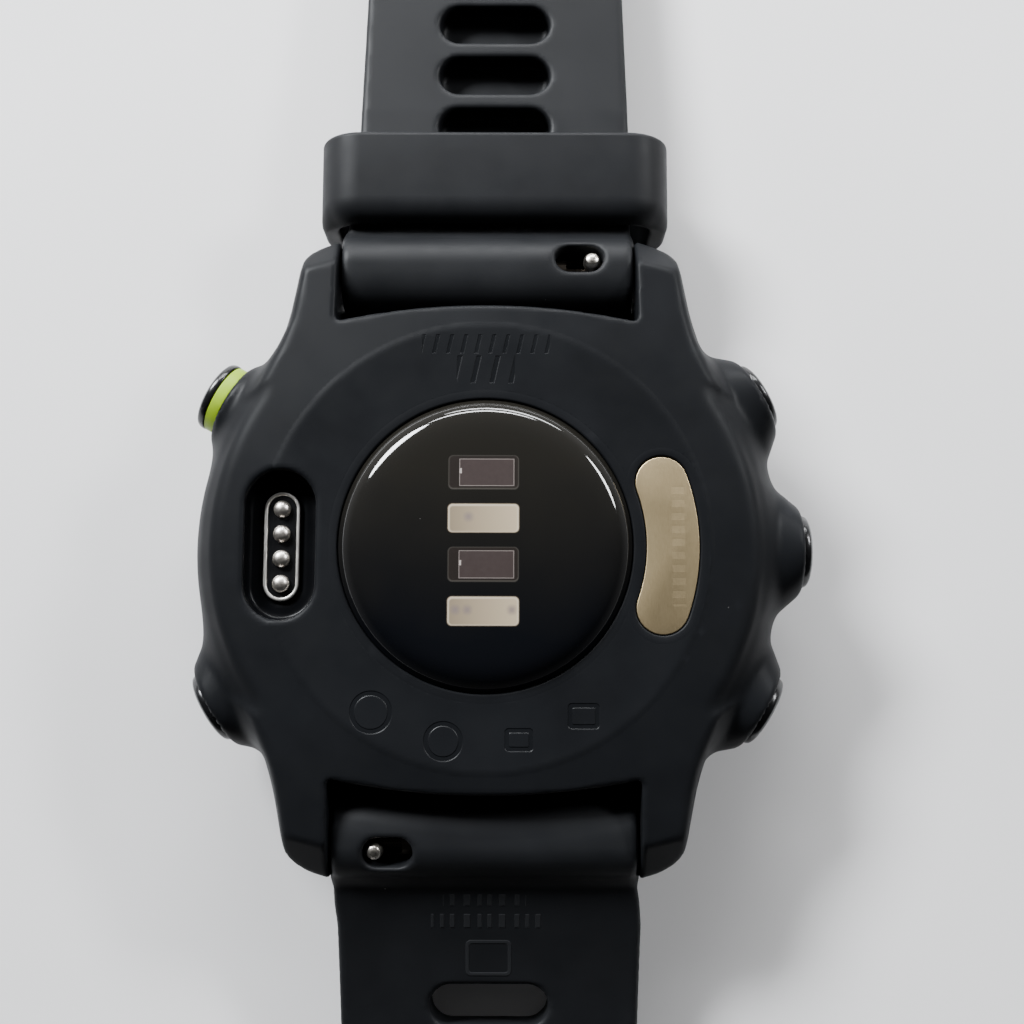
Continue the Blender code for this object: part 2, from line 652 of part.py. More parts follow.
def barrel_rings():
    """Rings round the spring bar, from the case side outwards."""
    rings = []
    for degrees in (165, 140, 115, 90, 65, 45):
        a = math.radians(degrees)
        y, z = BARREL_R * math.cos(a), BARREL_R * math.sin(a)
        half_w = BARREL_HALF_W - (0.4 * MM if degrees > 150 else 0)
        rings.append(strap_ring(y, -z, y, z, half_w))
    return rings


def strap_rings(rest_z, fall, stations):
    rings = barrel_rings()
    neck = ((2.15, -2.2, 0.75), (3.1, -2.55, 0.42))
    for y, z_low, z_high in neck:
        rings.append(strap_ring(y * MM, z_low * MM, y * MM, z_high * MM, BARREL_HALF_W))
    for y in stations:
        z = strap_middle(y, rest_z, fall)
        half_t = strap_thickness(y) / 2
        rings.append(strap_ring(y, z - half_t, y, z + half_t, strap_half_width(y)))
    return rings


def even_steps(first, last, count):
    return [first + (last - first) * k / count for k in range(count + 1)]


def slot_tool(name, count, rest_z, fall, floor=None):
    """All slots of one strap as one cutter. With a floor, they stop that deep below the wrist side."""
    bm = bmesh.new()
    outline = stadium_points(SLOT_SIZE[0] / 2, SLOT_SIZE[1] / 2, 3)
    for k in range(count):
        y = SLOT_FIRST_Y + k * SLOT_PITCH
        z = strap_middle(y, rest_z, fall)
        slope = math.atan((strap_middle(y + MM, rest_z, fall) - z) / MM)
        place = Matrix.Translation((0, y, z)) @ Matrix.Rotation(slope, 4, "X")
        low = strap_thickness(y) / 2 - floor if floor else -2 * MM
        add_loft(bm, [[place @ Vector((x, v, w)) for x, v in outline] for w in (low, 2 * MM)])
    return link(name, bm)


def bar_tool(name, radius, half_length):
    return along_x(lathe(name, [(0, -half_length), (radius, -half_length), (radius, half_length), (0, half_length)], 16))


def lean(obj):
    """Turns a knob or its window about the spring bar."""
    obj.data.transform(Matrix.Rotation(KNOB_LEAN, 4, "X"))
    return obj


def release_window_tool(name):
    x0, x1, width = RELEASE_WINDOW
    outline = stadium_points((x1 - x0) / 2, width / 2, 4, ((x0 + x1) / 2, 0))
    return lean(prism(name, outline, 0, 3 * MM))


def strap(name, side, rest_z, fall, stations, slots, floor, axis, finishes):
    piece = loft(name, strap_rings(rest_z, fall, stations), finishes["strap"])
    tools = [
        slot_tool(f"slot_tool_{side}", slots, rest_z, fall, floor),
        bar_tool(f"bar_tool_{side}", TUBE_R + RUN, 12 * MM),
        release_window_tool(f"release_window_tool_{side}"),
    ]
    for tool in tools:
        tool.parent = axis
        boolean(piece, tool)
    piece.parent = axis
    return piece


def spring_bar(side, axis, finishes):
    """The tube with its fixed tip, and the sliding pin with its knob."""
    bore_end = KNOB_X - RELEASE_TRAVEL - 3.2 * MM
    tube = along_x(lathe(f"spring_bar_{side}", [
        (0, -TIP_END), (TIP_R, -TIP_END), (TIP_R, -TUBE_HALF), (TUBE_R, -TUBE_HALF), (TUBE_R, TUBE_HALF),
        (TUBE_BORE_R, TUBE_HALF), (TUBE_BORE_R, bore_end), (0, bore_end),
    ], 16, finishes["steel"]))
    stem_r = 0.32 * MM
    half = (RELEASE_TRAVEL + 2 * (stem_r + RUN)) / 2
    slot_outline = rounded_box_points(half, stem_r + RUN, 0.1 * MM, 1, (KNOB_X - RELEASE_TRAVEL / 2, 0))
    slot = lean(prism(f"bar_slot_tool_{side}", slot_outline, 0, 1.5 * MM))
    slot.parent = axis
    boolean(tube, slot)
    tube.parent = axis
    rod = along_x(lathe(f"release_pin_{side}", [
        (0, KNOB_X - 2.4 * MM), (PIN_R, KNOB_X - 2.4 * MM), (PIN_R, TUBE_HALF - 0.1 * MM), (TIP_R, TUBE_HALF),
        (TIP_R, TIP_END), (0, TIP_END),
    ], 16, finishes["steel"]))
    knob = lean(lathe(f"knob_tool_{side}", [
        (0, 0), (stem_r, 0), (stem_r, 1.05 * MM), (KNOB_R, 1.1 * MM), (KNOB_R, KNOB_TOP - 0.25 * MM),
        (0.35 * MM, KNOB_TOP - 0.04 * MM), (0, KNOB_TOP),
    ], 16, at=(KNOB_X, 0)))
    knob.parent = axis
    boolean(rod, knob, "UNION")
    rod.parent = axis


def keeper(name, centre_y, length, shift_x, half_w, axis, finishes):
    """A loop round the strap, standing on the table."""
    bottom = FLOOR_Z + 0.02 * MM - BAR_Z
    middle = (shift_x, bottom + KEEPER_H / 2)
    outer = rounded_box_points(half_w, KEEPER_H / 2, KEEPER_CORNER, 5, middle)
    inner = rounded_box_points(half_w - KEEPER_WALL, KEEPER_H / 2 - KEEPER_WALL, KEEPER_INNER_CORNER, 5, middle)
    y0, y1 = centre_y - length / 2, centre_y + length / 2
    edge = 0.35 * MM
    bm = bmesh.new()
    stations = ((outer, y0 + edge), (outer, y1 - edge), (inset(outer, middle, edge), y1), (inner, y1), (inner, y0),
                (inset(outer, middle, edge), y0))
    loops = [[bm.verts.new((x, y, z)) for x, z in ring] for ring, y in stations]
    count = len(outer)
    for near, far in zip(loops, loops[1:] + loops[:1]):
        for i in range(count):
            j = (i + 1) % count
            bm.faces.new((near[i], near[j], far[j], far[i]))
    piece = link(name, bm, finishes["strap"])
    piece.parent = axis


def inset(outline, middle, amount):
    """The outline drawn in towards its middle by amount on each side."""
    half_x = max(abs(x - middle[0]) for x, _ in outline)
    half_z = max(abs(z - middle[1]) for _, z in outline)
    return [(middle[0] + (x - middle[0]) * (1 - amount / half_x),
             middle[1] + (z - middle[1]) * (1 - amount / half_z)) for x, z in outline]


# ---------------------------------------------------------------- buckle


def buckle_pieces(axis, finishes):
    """Frame, bar and tang, in a frame with the buckle's bar at the origin."""
    frame = buckle_frame(finishes["buckle"])
    eye = bar_tool("buckle_eye_tool", BUCKLE_BAR_R + FIT, BUCKLE_ARM_X[1] - 0.5 * MM)
    boolean(frame, eye)
    half = BUCKLE_ARM_X[1] - 0.6 * MM
    bar = bar_tool("buckle_bar", BUCKLE_BAR_R, half)
    bar.data.materials.append(finishes["steel"])
    tang = buckle_tang(finishes["buckle"])
    hole = bar_tool("tang_eye_tool", BUCKLE_BAR_R + RUN, TANG_W)
    boolean(tang, hole)
    for piece in (frame, eye, bar, tang, hole):
        piece.parent = axis


def buckle_frame(finish):
    """A U of two arms and a crossbar: one outline in XY, with an open side towards the strap."""
    x_in, x_out = BUCKLE_ARM_X
    back_y = -1.9 * MM
    corner = 2.0 * MM
    steps = 4
    outline = [(x_in, back_y), (x_out, back_y)]
    for k in range(steps + 1):
        a = math.pi / 2 * k / steps
        outline.append((x_out - corner + corner * math.cos(a), BUCKLE_END_Y - corner + corner * math.sin(a)))
    outline += [(-x, y) for x, y in reversed(outline)]
    inner_corner = MM
    inner = [(-x_in, BUCKLE_CROSS_Y - inner_corner), (-x_in + inner_corner, BUCKLE_CROSS_Y),
             (x_in - inner_corner, BUCKLE_CROSS_Y), (x_in, BUCKLE_CROSS_Y - inner_corner)]
    return prism("buckle_frame", outline + inner, -BUCKLE_T / 2, BUCKLE_T / 2, finish)


def buckle_tang(finish):
    """A wide tongue: an eye round the bar and a flat blade that lies under the crossbar."""
    side = []
    eye_r = 1.55 * MM
    for degrees in (60, 90, 130, 180, 225, 260):
        a = math.radians(degrees)
        side.append((eye_r * math.cos(a), eye_r * math.sin(a)))
    blade_top = -BUCKLE_T / 2 - 0.12 * MM
    side += [(2.2 * MM, blade_top - TANG_T), (TANG_LENGTH - 0.6 * MM, blade_top - TANG_T),
             (TANG_LENGTH, blade_top - TANG_T + 0.4 * MM), (TANG_LENGTH, blade_top), (3.2 * MM, blade_top),
             (1.7 * MM, 0.0)]
    rings = [[(x, y, z) for y, z in side] for x in (-TANG_W / 2, TANG_W / 2)]
    return loft("buckle_tang", rings, finish)


def strap_end_tools(piece, axis):
    """The upper strap's far end: its eye is drilled for the bar and notched for the tang."""
    eye = bar_tool("strap_eye_tool", BUCKLE_BAR_R + RUN, 12 * MM)
    notch_half, reach = TANG_W / 2 + 0.4 * MM, 2.6 * MM
    notch = prism("tang_notch_tool", rounded_box_points(notch_half, reach, 0.3 * MM, 1), -4 * MM, 4 * MM)
    for tool in (eye, notch):
        tool.parent = axis
        boolean(piece, tool)


def upper_strap(finishes):
    axis = empty("upper_strap_axis", (0, BAR_Y, BAR_Z))
    stations = even_steps(STRAP_NECK_Y, 54.4 * MM, 10) + [62.5 * MM, 65.0 * MM]
    piece = loft("strap_upper", upper_rings(stations), finishes["strap"])
    tools = [
        slot_tool("slot_tool_upper", UPPER_SLOTS, UPPER_REST_Z, UPPER_FALL, POCKET_DEPTH),
        bar_tool("bar_tool_upper", TUBE_R + RUN, 12 * MM),
        release_window_tool("release_window_tool_upper"),
    ]
    for tool in tools:
        tool.parent = axis
        boolean(piece, tool)
    piece.parent = axis
    spring_bar("upper", axis, finishes)
    keeper("keeper_sliding", KEEPER_Y - BAR_Y, KEEPER_L, KEEPER_SHIFT_X, KEEPER_HALF_W, axis, finishes)
    keeper("keeper_fixed", FIXED_KEEPER_Y, FIXED_KEEPER_L, 0.0, KEEPER_HALF_W - MM, axis, finishes)
    buckle_axis = empty("buckle_axis", (0, UPPER_LENGTH, UPPER_REST_Z), parent=axis)
    strap_end_tools(piece, buckle_axis)
    buckle_pieces(buckle_axis, finishes)


def upper_rings(stations):
    """The upper strap's rings, with its thicker eye round the buckle's bar at the end."""
    rings = strap_rings(UPPER_REST_Z, UPPER_FALL, stations)
    half_w = STRAP_MIN_HALF_W
    for degrees in (130, 90, 50, 20):
        a = math.radians(degrees)
        y, z = UPPER_LENGTH + BUCKLE_EYE_R * math.cos(a), BUCKLE_EYE_R * math.sin(a)
        rings.append(strap_ring(y, UPPER_REST_Z - z, y, UPPER_REST_Z + z, half_w))
    return rings


def lower_strap(finishes):
    axis = empty("lower_strap_axis", (0, -BAR_Y, BAR_Z), (0, 0, math.pi))
    tip = 9.0 * MM
    stations = even_steps(STRAP_NECK_Y, 34.4 * MM, 8) + [LOWER_LENGTH - tip]
    rings = strap_rings(LOWER_REST_Z, LOWER_FALL, stations)
    for share in (0.35, 0.6, 0.8, 0.93, 0.99):
        y = LOWER_LENGTH - tip + tip * share
        half_w = STRAP_MIN_HALF_W * (1 - share**2) ** 0.5
        rings.append(strap_ring(y, LOWER_REST_Z - STRAP_T / 2, y, LOWER_REST_Z + STRAP_T / 2, half_w))
    piece = loft("strap_lower", rings, finishes["strap"])
    tools = [
        slot_tool("slot_tool_lower", LOWER_SLOTS, LOWER_REST_Z, LOWER_FALL),
        bar_tool("bar_tool_lower", TUBE_R + RUN, 12 * MM),
        release_window_tool("release_window_tool_lower"),
    ]
    for tool in tools:
        tool.parent = axis
        boolean(piece, tool)
    piece.parent = axis
    spring_bar("lower", axis, finishes)


def main():
    clear_scene()
    finishes = make_materials()
    rear_case(finishes["case"])
    front_pieces(finishes)
    inner_pieces(finishes)
    sensor_pieces(finishes)
    port_pieces(finishes)
    for name, angle, reach in BUTTONS:
        button_pieces(name, angle, reach, finishes)
    upper_strap(finishes)
    lower_strap(finishes)


main()
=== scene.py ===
"""The looks of a GPS running watch that lies on its glass with the strap open.

Shapes are worked out in millimetres, in the frame's own axes: the origin is the middle of the glass's
outer face, +Z is the wrist side and +Y runs to the buckle. Pieces are made in metres.
"""

import math

import bmesh
import bpy
import numpy as np
from mathutils import Matrix, Vector


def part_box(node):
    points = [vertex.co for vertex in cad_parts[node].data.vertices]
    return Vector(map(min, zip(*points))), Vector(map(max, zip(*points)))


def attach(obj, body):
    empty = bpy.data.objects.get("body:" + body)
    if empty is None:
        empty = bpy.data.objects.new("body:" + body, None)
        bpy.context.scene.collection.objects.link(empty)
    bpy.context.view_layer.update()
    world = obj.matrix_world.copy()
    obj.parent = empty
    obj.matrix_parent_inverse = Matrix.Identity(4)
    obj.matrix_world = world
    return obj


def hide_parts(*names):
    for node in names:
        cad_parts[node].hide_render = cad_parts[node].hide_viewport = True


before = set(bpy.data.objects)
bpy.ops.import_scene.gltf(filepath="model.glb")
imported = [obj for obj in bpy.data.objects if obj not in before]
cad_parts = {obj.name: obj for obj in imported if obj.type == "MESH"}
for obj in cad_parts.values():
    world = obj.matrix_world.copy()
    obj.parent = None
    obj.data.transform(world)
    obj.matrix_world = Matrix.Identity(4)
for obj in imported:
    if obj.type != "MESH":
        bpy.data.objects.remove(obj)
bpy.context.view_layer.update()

MM = 0.001


def box_mm(node):
    """Lowest and highest corner of a CAD node, in millimetres."""
    low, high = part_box(node)
    return low / MM, high / MM


def middle_mm(node):
    low, high = box_mm(node)
    return (low + high) / 2


# Places and sizes read from the frame
GLASS_R = box_mm("front_lens")[1].x
GLASS_T = box_mm("front_lens")[1].z
TABLE_Z = box_mm("front_bezel")[0].z
CASE_R = box_mm("front_bezel")[1].x
CASE_FRONT = box_mm("rear_case")[0].z
BACK_Z = box_mm("rear_case")[1].z
BAR_Y = middle_mm("spring_bar_upper").y
BAR_Z = middle_mm("spring_bar_upper").z
BUTTON_Z = middle_mm("up_cap").z
CAP_FACE = box_mm("up_cap")[1].x
CAP_FOOT = box_mm("up_cap")[0].x
CAP_R = (box_mm("up_cap")[1].y - box_mm("up_cap")[0].y) / 2
WINDOW_TOP = box_mm("sensor_window")[1].z
PORT_X = middle_mm("contact_trim").x
PORT_FLOOR = box_mm("contact_trim")[0].z
TRIM_TOP = box_mm("contact_trim")[1].z
TRIM_HALF = (box_mm("contact_trim")[1] - box_mm("contact_trim")[0]) / 2
PLATE_LOW, PLATE_HIGH = box_mm("serial_plate")[0].z, box_mm("serial_plate")[1].z
BUCKLE_Y = middle_mm("buckle_bar").y
BUCKLE_Z = middle_mm("buckle_bar").z

# Case
BACK_SLOPE = 0.135
BACK_DISC_R = 14.58
ROOM_R = 17.3
LUG_INNER_X = 10.02
SEAT_R = 9.85
DOME_R = 9.2
PLATE_ARC_R = 12.1
PLATE_ARC_HALF = math.radians(19.6)
PORT_SHIFT = 0.08
SHELL_STEP = 0.24
# (y, x) along the outer side of a lug
LUG_LINE = (
    (9.0, 16.9), (10.5, 16.05), (12.0, 15.2), (13.4, 14.45), (14.7, 13.98), (15.9, 13.66), (17.3, 13.38),
    (18.7, 13.12), (19.7, 12.84), (20.4, 12.3), (20.95, 11.5), (21.3, 10.6), (21.6, 9.2), (21.9, 7.0),
)
# angle round the case, how far the cap stands out beyond that of the up button, and where the boss ends
BUTTONS = {
    "start": (150, -0.05, 20.1),
    "back": (210, -0.3, 20.85),
    "light": (30, 0.0, 21.15),
    "up": (0, 0.0, 21.1),
    "down": (330, 0.0, 21.1),
}
STEM_R = 0.82

# Strap, in its own frame with the spring bar at the origin and +Y along the strap
STRAP_T = 2.3
STRAP_EXTRA_T = 0.7
BARREL_R = 2.35
BARREL_HALF_W = 9.86
STRAP_MIN_HALF_W = 9.0
SLOT_FIRST = 10.75
KNOB_LEAN = math.radians(12)
KNOB_WINDOW_X = 6.225
NECK_Y = 2.4
NOSE_REACH = 3.08
NOSE_POWER = 2.6
EYE_BORE_R = 0.86
SLOT_PITCH = 4.0
SLOT_HALF = (3.9, 1.4)
POCKET_DEPTH = 1.7
BUCKLE_AT = BUCKLE_Y - BAR_Y
UPPER = {"rest_z": BUCKLE_Z - BAR_Z, "fall": 50.0, "slots": 9, "tip": BUCKLE_AT, "half_w": 9.72,
         "taper": 0.026, "shift": 0.4}
LOWER = {"rest_z": -5.28, "fall": 24.0, "slots": 24, "tip": 117.85, "half_w": 10.08, "taper": 0.02,
         "shift": -0.28}


# ---------------------------------------------------------------- solids as distances
# Each function gives the distance of points to a solid's surface, negative inside it.


def meet(a, b, radius):
    """What both solids hold, its edges rounded."""
    u = np.maximum(a + radius, 0)
    v = np.maximum(b + radius, 0)
    return np.minimum(np.maximum(a, b), -radius) + np.hypot(u, v)


def join(a, b, radius):
    """What either solid holds, with a fillet between them."""
    return -meet(-a, -b, radius)


def cut(a, tool, radius):
    """The first solid without the tool, the hole's rim rounded."""
    return meet(a, -tool, radius)


def rounded_box(x, y, half_x, half_y, corner):
    u = np.abs(x) - half_x + corner
    v = np.abs(y) - half_y + corner
    return np.hypot(np.maximum(u, 0), np.maximum(v, 0)) + np.minimum(np.maximum(u, v), 0) - corner


def stadium(x, y, half_x, half_y):
    return rounded_box(x, y, half_x, half_y, min(half_x, half_y))


def arc_band(x, y, radius, half_width, half_angle):
    """A band along an arc round +X, with half-round ends."""
    y = np.abs(y)
    end = radius * np.array((math.cos(half_angle), math.sin(half_angle)))
    inside = np.arctan2(y, x) < half_angle
    along = np.abs(np.hypot(x, y) - radius)
    beyond = np.hypot(x - end[0], y - end[1])
    return np.where(inside, along, beyond) - half_width


# ---------------------------------------------------------------- meshes


def skin(distance, xs, ys, zs):
    """Vertices and quads of the surface where distance is 0, one vertex in each grid cell it crosses."""
    field = distance(*np.meshgrid(xs, ys, zs, indexing="ij"))
    cells = tuple(n - 1 for n in field.shape)
    flat_points, flat_cells, quads = [], [], []
    for axis in range(3):
        near = np.take(field, range(field.shape[axis] - 1), axis)
        far = np.take(field, range(1, field.shape[axis]), axis)
        index = np.nonzero((near < 0) != (far < 0))
        share = near[index] / (near[index] - far[index])
        point = np.stack([xs[index[0]], ys[index[1]], zs[index[2]]], 1)
        steps = np.diff((xs, ys, zs)[axis])
        point[:, axis] += share * steps[index[axis]]
        side, up = (axis + 1) % 3, (axis + 2) % 3
        corners = []
        for d_side, d_up in ((0, 0), (-1, 0), (-1, -1), (0, -1)):
            cell = list(index)
            cell[side] = cell[side] + d_side
            cell[up] = cell[up] + d_up
            corners.append(np.ravel_multi_index(cell, cells))
            flat_points.append(point)
            flat_cells.append(corners[-1])
        quad = np.stack(corners, 1)
        leaving = near[index] < 0
        quad[~leaving] = quad[~leaving][:, ::-1]
        quads.append(quad)
    used, number = np.unique(np.concatenate(flat_cells), return_inverse=True)
    points = np.concatenate(flat_points)
    count = np.bincount(number)
    vertices = np.stack([np.bincount(number, points[:, k]) / count for k in range(3)], 1)
    faces = np.searchsorted(used, np.concatenate(quads))
    return settle(distance, vertices, min(np.diff(xs).min(), np.diff(zs).min())), faces


def settle(distance, points, step):
    """Moves points onto the surface where distance is 0, each by no more than half a step."""
    eps = 0.01
    for _ in range(3):
        here = distance(*points.T)
        slope = np.stack([distance(*(points + eps * np.eye(3)[k]).T) - here for k in range(3)], 1) / eps
        size = np.maximum((slope**2).sum(1), 0.2)
        move = -slope * (here / size)[:, None]
        length = np.maximum(np.linalg.norm(move, axis=1), 1e-9)
        points = points + move * np.minimum(1, 0.5 * step / length)[:, None]
    return points


def spaced(low, high, step):
    """Evenly spaced places, about one step apart."""
    return np.linspace(low, high, max(2, round((high - low) / step) + 1))


def piece(name, vertices, faces, material, sharp=40):
    """A mesh object from points in millimetres."""
    mesh = bpy.data.meshes.new(name)
    points = (np.asarray(vertices, float) * MM).tolist()
    mesh.from_pydata(points, [], [list(map(int, face)) for face in faces])
    return finished(name, mesh, material, sharp)


def finished(name, mesh, material, sharp):
    bm = bmesh.new()
    bm.from_mesh(mesh)
    bmesh.ops.recalc_face_normals(bm, faces=bm.faces)
    bm.to_mesh(mesh)
    bm.free()
    mesh.materials.append(material)
    mesh.shade_smooth()
    mesh.set_sharp_from_angle(angle=math.radians(sharp))
    obj = bpy.data.objects.new(name, mesh)
    bpy.context.scene.collection.objects.link(obj)
    return obj


def eased(profile, radius, closed=False):
    """A profile with each corner turned into a small arc."""
    count = len(profile)
    points = []
    for i, here in enumerate(profile):
        here = Vector(here)
        if not closed and i in (0, count - 1):
            points.append(tuple(here))
            continue
        before, after = Vector(profile[i - 1]), Vector(profile[(i + 1) % count])
        reach = min(radius, (before - here).length * 0.45, (after - here).length * 0.45)
        if reach < 1e-4:
            points.append(tuple(here))
            continue
        start = here + (before - here).normalized() * reach
        end = here + (after - here).normalized() * reach
        for t in (0, 0.25, 0.5, 0.75, 1):
            points.append(tuple(start * (1 - t) ** 2 + here * 2 * t * (1 - t) + end * t**2))
    return points


def turned(profile, segments, closed=False):
    """Vertices and faces of a profile of (radius, height) turned about Z."""
    vertices, rows, faces = [], [], []
    for radius, height in profile:
        turns = segments if radius > 1e-6 else 1
        rows.append([len(vertices) + k for k in range(turns)])
        for k in range(turns):
            a = math.tau * k / segments
            vertices.append((radius * math.cos(a), radius * math.sin(a), height))
    pairs = list(zip(rows, rows[1:]))
    if closed:
        pairs.append((rows[-1], rows[0]))
    for near, far in pairs:
        for i in range(segments):
            j = (i + 1) % segments
            corners = [near[i % len(near)], near[j % len(near)], far[j % len(far)], far[i % len(far)]]
            face = list(dict.fromkeys(corners))
            if len(face) > 2:
                faces.append(face)
    return vertices, faces


def placed(vertices, matrix):
    return [tuple(matrix @ Vector(v)) for v in vertices]


def along_x(angle=0.0, at=(0, 0, 0)):
    """Takes a shape made about Z to an axis that leaves `at` in the XY plane at this angle."""
    turn = Matrix.Rotation(math.radians(angle), 4, "Z") @ Matrix.Rotation(math.pi / 2, 4, "Y")
    return Matrix.Translation(at) @ turn


def grid_faces(rows, columns, wrap_rows=False):
    """Quads over rows of points, each row closed into a loop."""
    faces = []
    for i in range(rows if wrap_rows else rows - 1):
        for j in range(columns):
            a, b = i, (i + 1) % rows
            c, d = j, (j + 1) % columns
            faces.append((a * columns + c, a * columns + d, b * columns + d, b * columns + c))
    return faces


def rounded_outline(half_x, half_y, corner, steps, centre=(0, 0)):
    """Counter-clockwise points round a rectangle with round corners."""
    points = []
    for quarter, (sx, sy) in enumerate(((1, 1), (-1, 1), (-1, -1), (1, -1))):
        for k in range(steps + 1):
            a = math.pi / 2 * (quarter + k / steps)
            x = sx * (half_x - corner) + corner * math.cos(a)
            y = sy * (half_y - corner) + corner * math.sin(a)
            points.append((centre[0] + x, centre[1] + y))
    return points


def outline_normals(outline):
    """The points of a closed outline, and the direction that leads out of it at each."""
    points = np.asarray(outline, float)
    ahead = np.roll(points, -1, 0) - points
    behind = points - np.roll(points, 1, 0)
    ahead /= np.maximum(np.linalg.norm(ahead, axis=1), 1e-9)[:, None]
    behind /= np.maximum(np.linalg.norm(behind, axis=1), 1e-9)[:, None]
    along = ahead + behind
    along /= np.maximum(np.linalg.norm(along, axis=1), 1e-9)[:, None]
    return points, np.stack([along[:, 1], -along[:, 0]], 1)


def slab(outline, low, high, edge):
    """A flat solid from a counter-clockwise outline, its long edges rounded."""
    points, normals = outline_normals(outline)
    stations = []
    for k in range(5):
        a = math.pi / 2 * k / 4
        stations.append((edge * (1 - math.sin(a)), low + edge * (1 - math.cos(a))))
    stations += [(inset, low + high - z) for inset, z in reversed(stations)]
    count = len(points)
    vertices = []
    for inset, z in stations:
        ring = points - normals * inset
        vertices += [(x, y, z) for x, y in ring]
    faces = grid_faces(len(stations), count)
    faces.append(list(range(count))[::-1])
    faces.append([(len(stations) - 1) * count + k for k in range(count)])
    return vertices, faces


def merged(*parts):
    """Several (vertices, faces) as one."""
    vertices, faces = [], []
    for part_vertices, part_faces in parts:
        base = len(vertices)
        vertices += [tuple(v) for v in part_vertices]
        faces += [[base + i for i in face] for face in part_faces]
    return vertices, faces


def stands_for(obj, node, body):
    """Puts a piece in the place of a CAD node and on its body."""
    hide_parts(node)
    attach(obj, body)


# ---------------------------------------------------------------- material tools


class Finish:
    """A procedural material. Its coordinates are the piece's own, in millimetres."""

    def __init__(self, name, roughness=0.5, metallic=0.0, specular=0.5):
        self.material = bpy.data.materials.new(name)
        self.material.use_nodes = True
        self.tree = self.material.node_tree
        self.shader = self.tree.nodes["Principled BSDF"]
        self.shader.inputs["Metallic"].default_value = metallic
        self.shader.inputs["Roughness"].default_value = roughness
        self.shader.inputs["Specular IOR Level"].default_value = specular
        coordinates = self.node("ShaderNodeTexCoord")
        scaled = self.node("ShaderNodeVectorMath", operation="SCALE")
        scaled.inputs["Scale"].default_value = 1 / MM
        self.tree.links.new(coordinates.outputs["Object"], scaled.inputs[0])
        self.place = scaled.outputs[0]
        split = self.node("ShaderNodeSeparateXYZ")
        self.tree.links.new(self.place, split.inputs[0])
        self.x, self.y, self.z = split.outputs

    def node(self, kind, **settings):
        made = self.tree.nodes.new(kind)
        for key, value in settings.items():
            setattr(made, key, value)
        return made

    def feed(self, socket, value):
        if isinstance(value, bpy.types.NodeSocket):
            self.tree.links.new(value, socket)
        else:
            socket.default_value = value

    def math(self, operation, *values, clamp=False):
        made = self.node("ShaderNodeMath", operation=operation, use_clamp=clamp)
        for socket, value in zip(made.inputs, values):
            self.feed(socket, value)
        return made.outputs[0]

    def times(self, a, b):
        return self.math("MULTIPLY", a, b)

    def plus(self, a, b):
        return self.math("ADD", a, b)

    def minus(self, a, b, clamp=False):
        return self.math("SUBTRACT", a, b, clamp=clamp)

    def larger(self, a, b):
        return self.math("MAXIMUM", a, b)

    def length(self, a, b):
        return self.math("SQRT", self.plus(self.math("POWER", a, 2.0), self.math("POWER", b, 2.0)))

    def waves(self, value, half):
        """Rises and falls between 0 and half along the value."""
        return self.math("PINGPONG", value, half)

    def remap(self, value, low, high, to_low=0.0, to_high=1.0):
        made = self.node("ShaderNodeMapRange")
        for key, number in zip(("Value", "From Min", "From Max", "To Min", "To Max"),
                               (value, low, high, to_low, to_high)):
            self.feed(made.inputs[key], number)
        return made.outputs[0]

    def stretched(self, x, y, z):
        made = self.node("ShaderNodeMapping")
        made.inputs["Scale"].default_value = (x, y, z)
        self.tree.links.new(self.place, made.inputs[0])
        return made.outputs[0]

    def noise(self, scale, detail, roughness=0.5, place=None):
        made = self.node("ShaderNodeTexNoise")
        self.tree.links.new(place or self.place, made.inputs["Vector"])
        made.inputs["Scale"].default_value = scale
        made.inputs["Detail"].default_value = detail
        made.inputs["Roughness"].default_value = roughness
        return made.outputs[0]

    def mix(self, factor, a, b):
        made = self.node("ShaderNodeMix", data_type="RGBA")
        self.feed(made.inputs[0], factor)
        for socket, value in ((made.inputs[6], a), (made.inputs[7], b)):
            self.feed(socket, (*value, 1.0) if isinstance(value, tuple) else value)
        return made.outputs[2]

    def bump(self, height, distance, strength=1.0, normal=None):
        made = self.node("ShaderNodeBump")
        made.inputs["Strength"].default_value = strength
        made.inputs["Distance"].default_value = distance * MM
        self.tree.links.new(height, made.inputs["Height"])
        if normal:
            self.tree.links.new(normal, made.inputs["Normal"])
        return made.outputs[0]

    def specks(self, cell, size, share):
        """Small scattered dots, such as dust: 1 on a dot."""
        made = self.node("ShaderNodeTexVoronoi", feature="F1")
        self.tree.links.new(self.place, made.inputs["Vector"])
        made.inputs["Scale"].default_value = 1 / cell
        near = self.math("LESS_THAN", made.outputs["Distance"], size / cell)
        split = self.node("ShaderNodeSeparateColor")
        self.tree.links.new(made.outputs["Color"], split.inputs[0])
        kept = self.math("LESS_THAN", split.outputs[0], share)
        return self.times(near, kept)

    def dusted(self, shade, cell, size, share, amount, colour):
        return self.mix(self.times(self.specks(cell, size, share), amount), shade, colour)

    def patchy(self, scale, detail, low, high):
        """A value that wanders between two numbers in soft patches."""
        return self.remap(self.noise(scale, detail), 0.3, 0.7, low, high)

    def edges(self, low=0.52, high=0.6):
        """1 along convex edges."""
        geometry = self.node("ShaderNodeNewGeometry")
        return self.remap(geometry.outputs["Pointiness"], low, high)

    def box(self, x, y, half_x, half_y, corner=0.0, soft=0.03):
        """1 inside a rounded rectangle in XY, 0 outside."""
        u = self.plus(self.math("ABSOLUTE", self.minus(self.x, x)), corner - half_x)
        v = self.plus(self.math("ABSOLUTE", self.minus(self.y, y)), corner - half_y)
        outside = self.length(self.larger(u, 0.0), self.larger(v, 0.0))
        inside = self.math("MINIMUM", self.larger(u, v), 0.0)
        distance = self.minus(self.plus(outside, inside), corner)
        return self.remap(distance, soft, -soft)

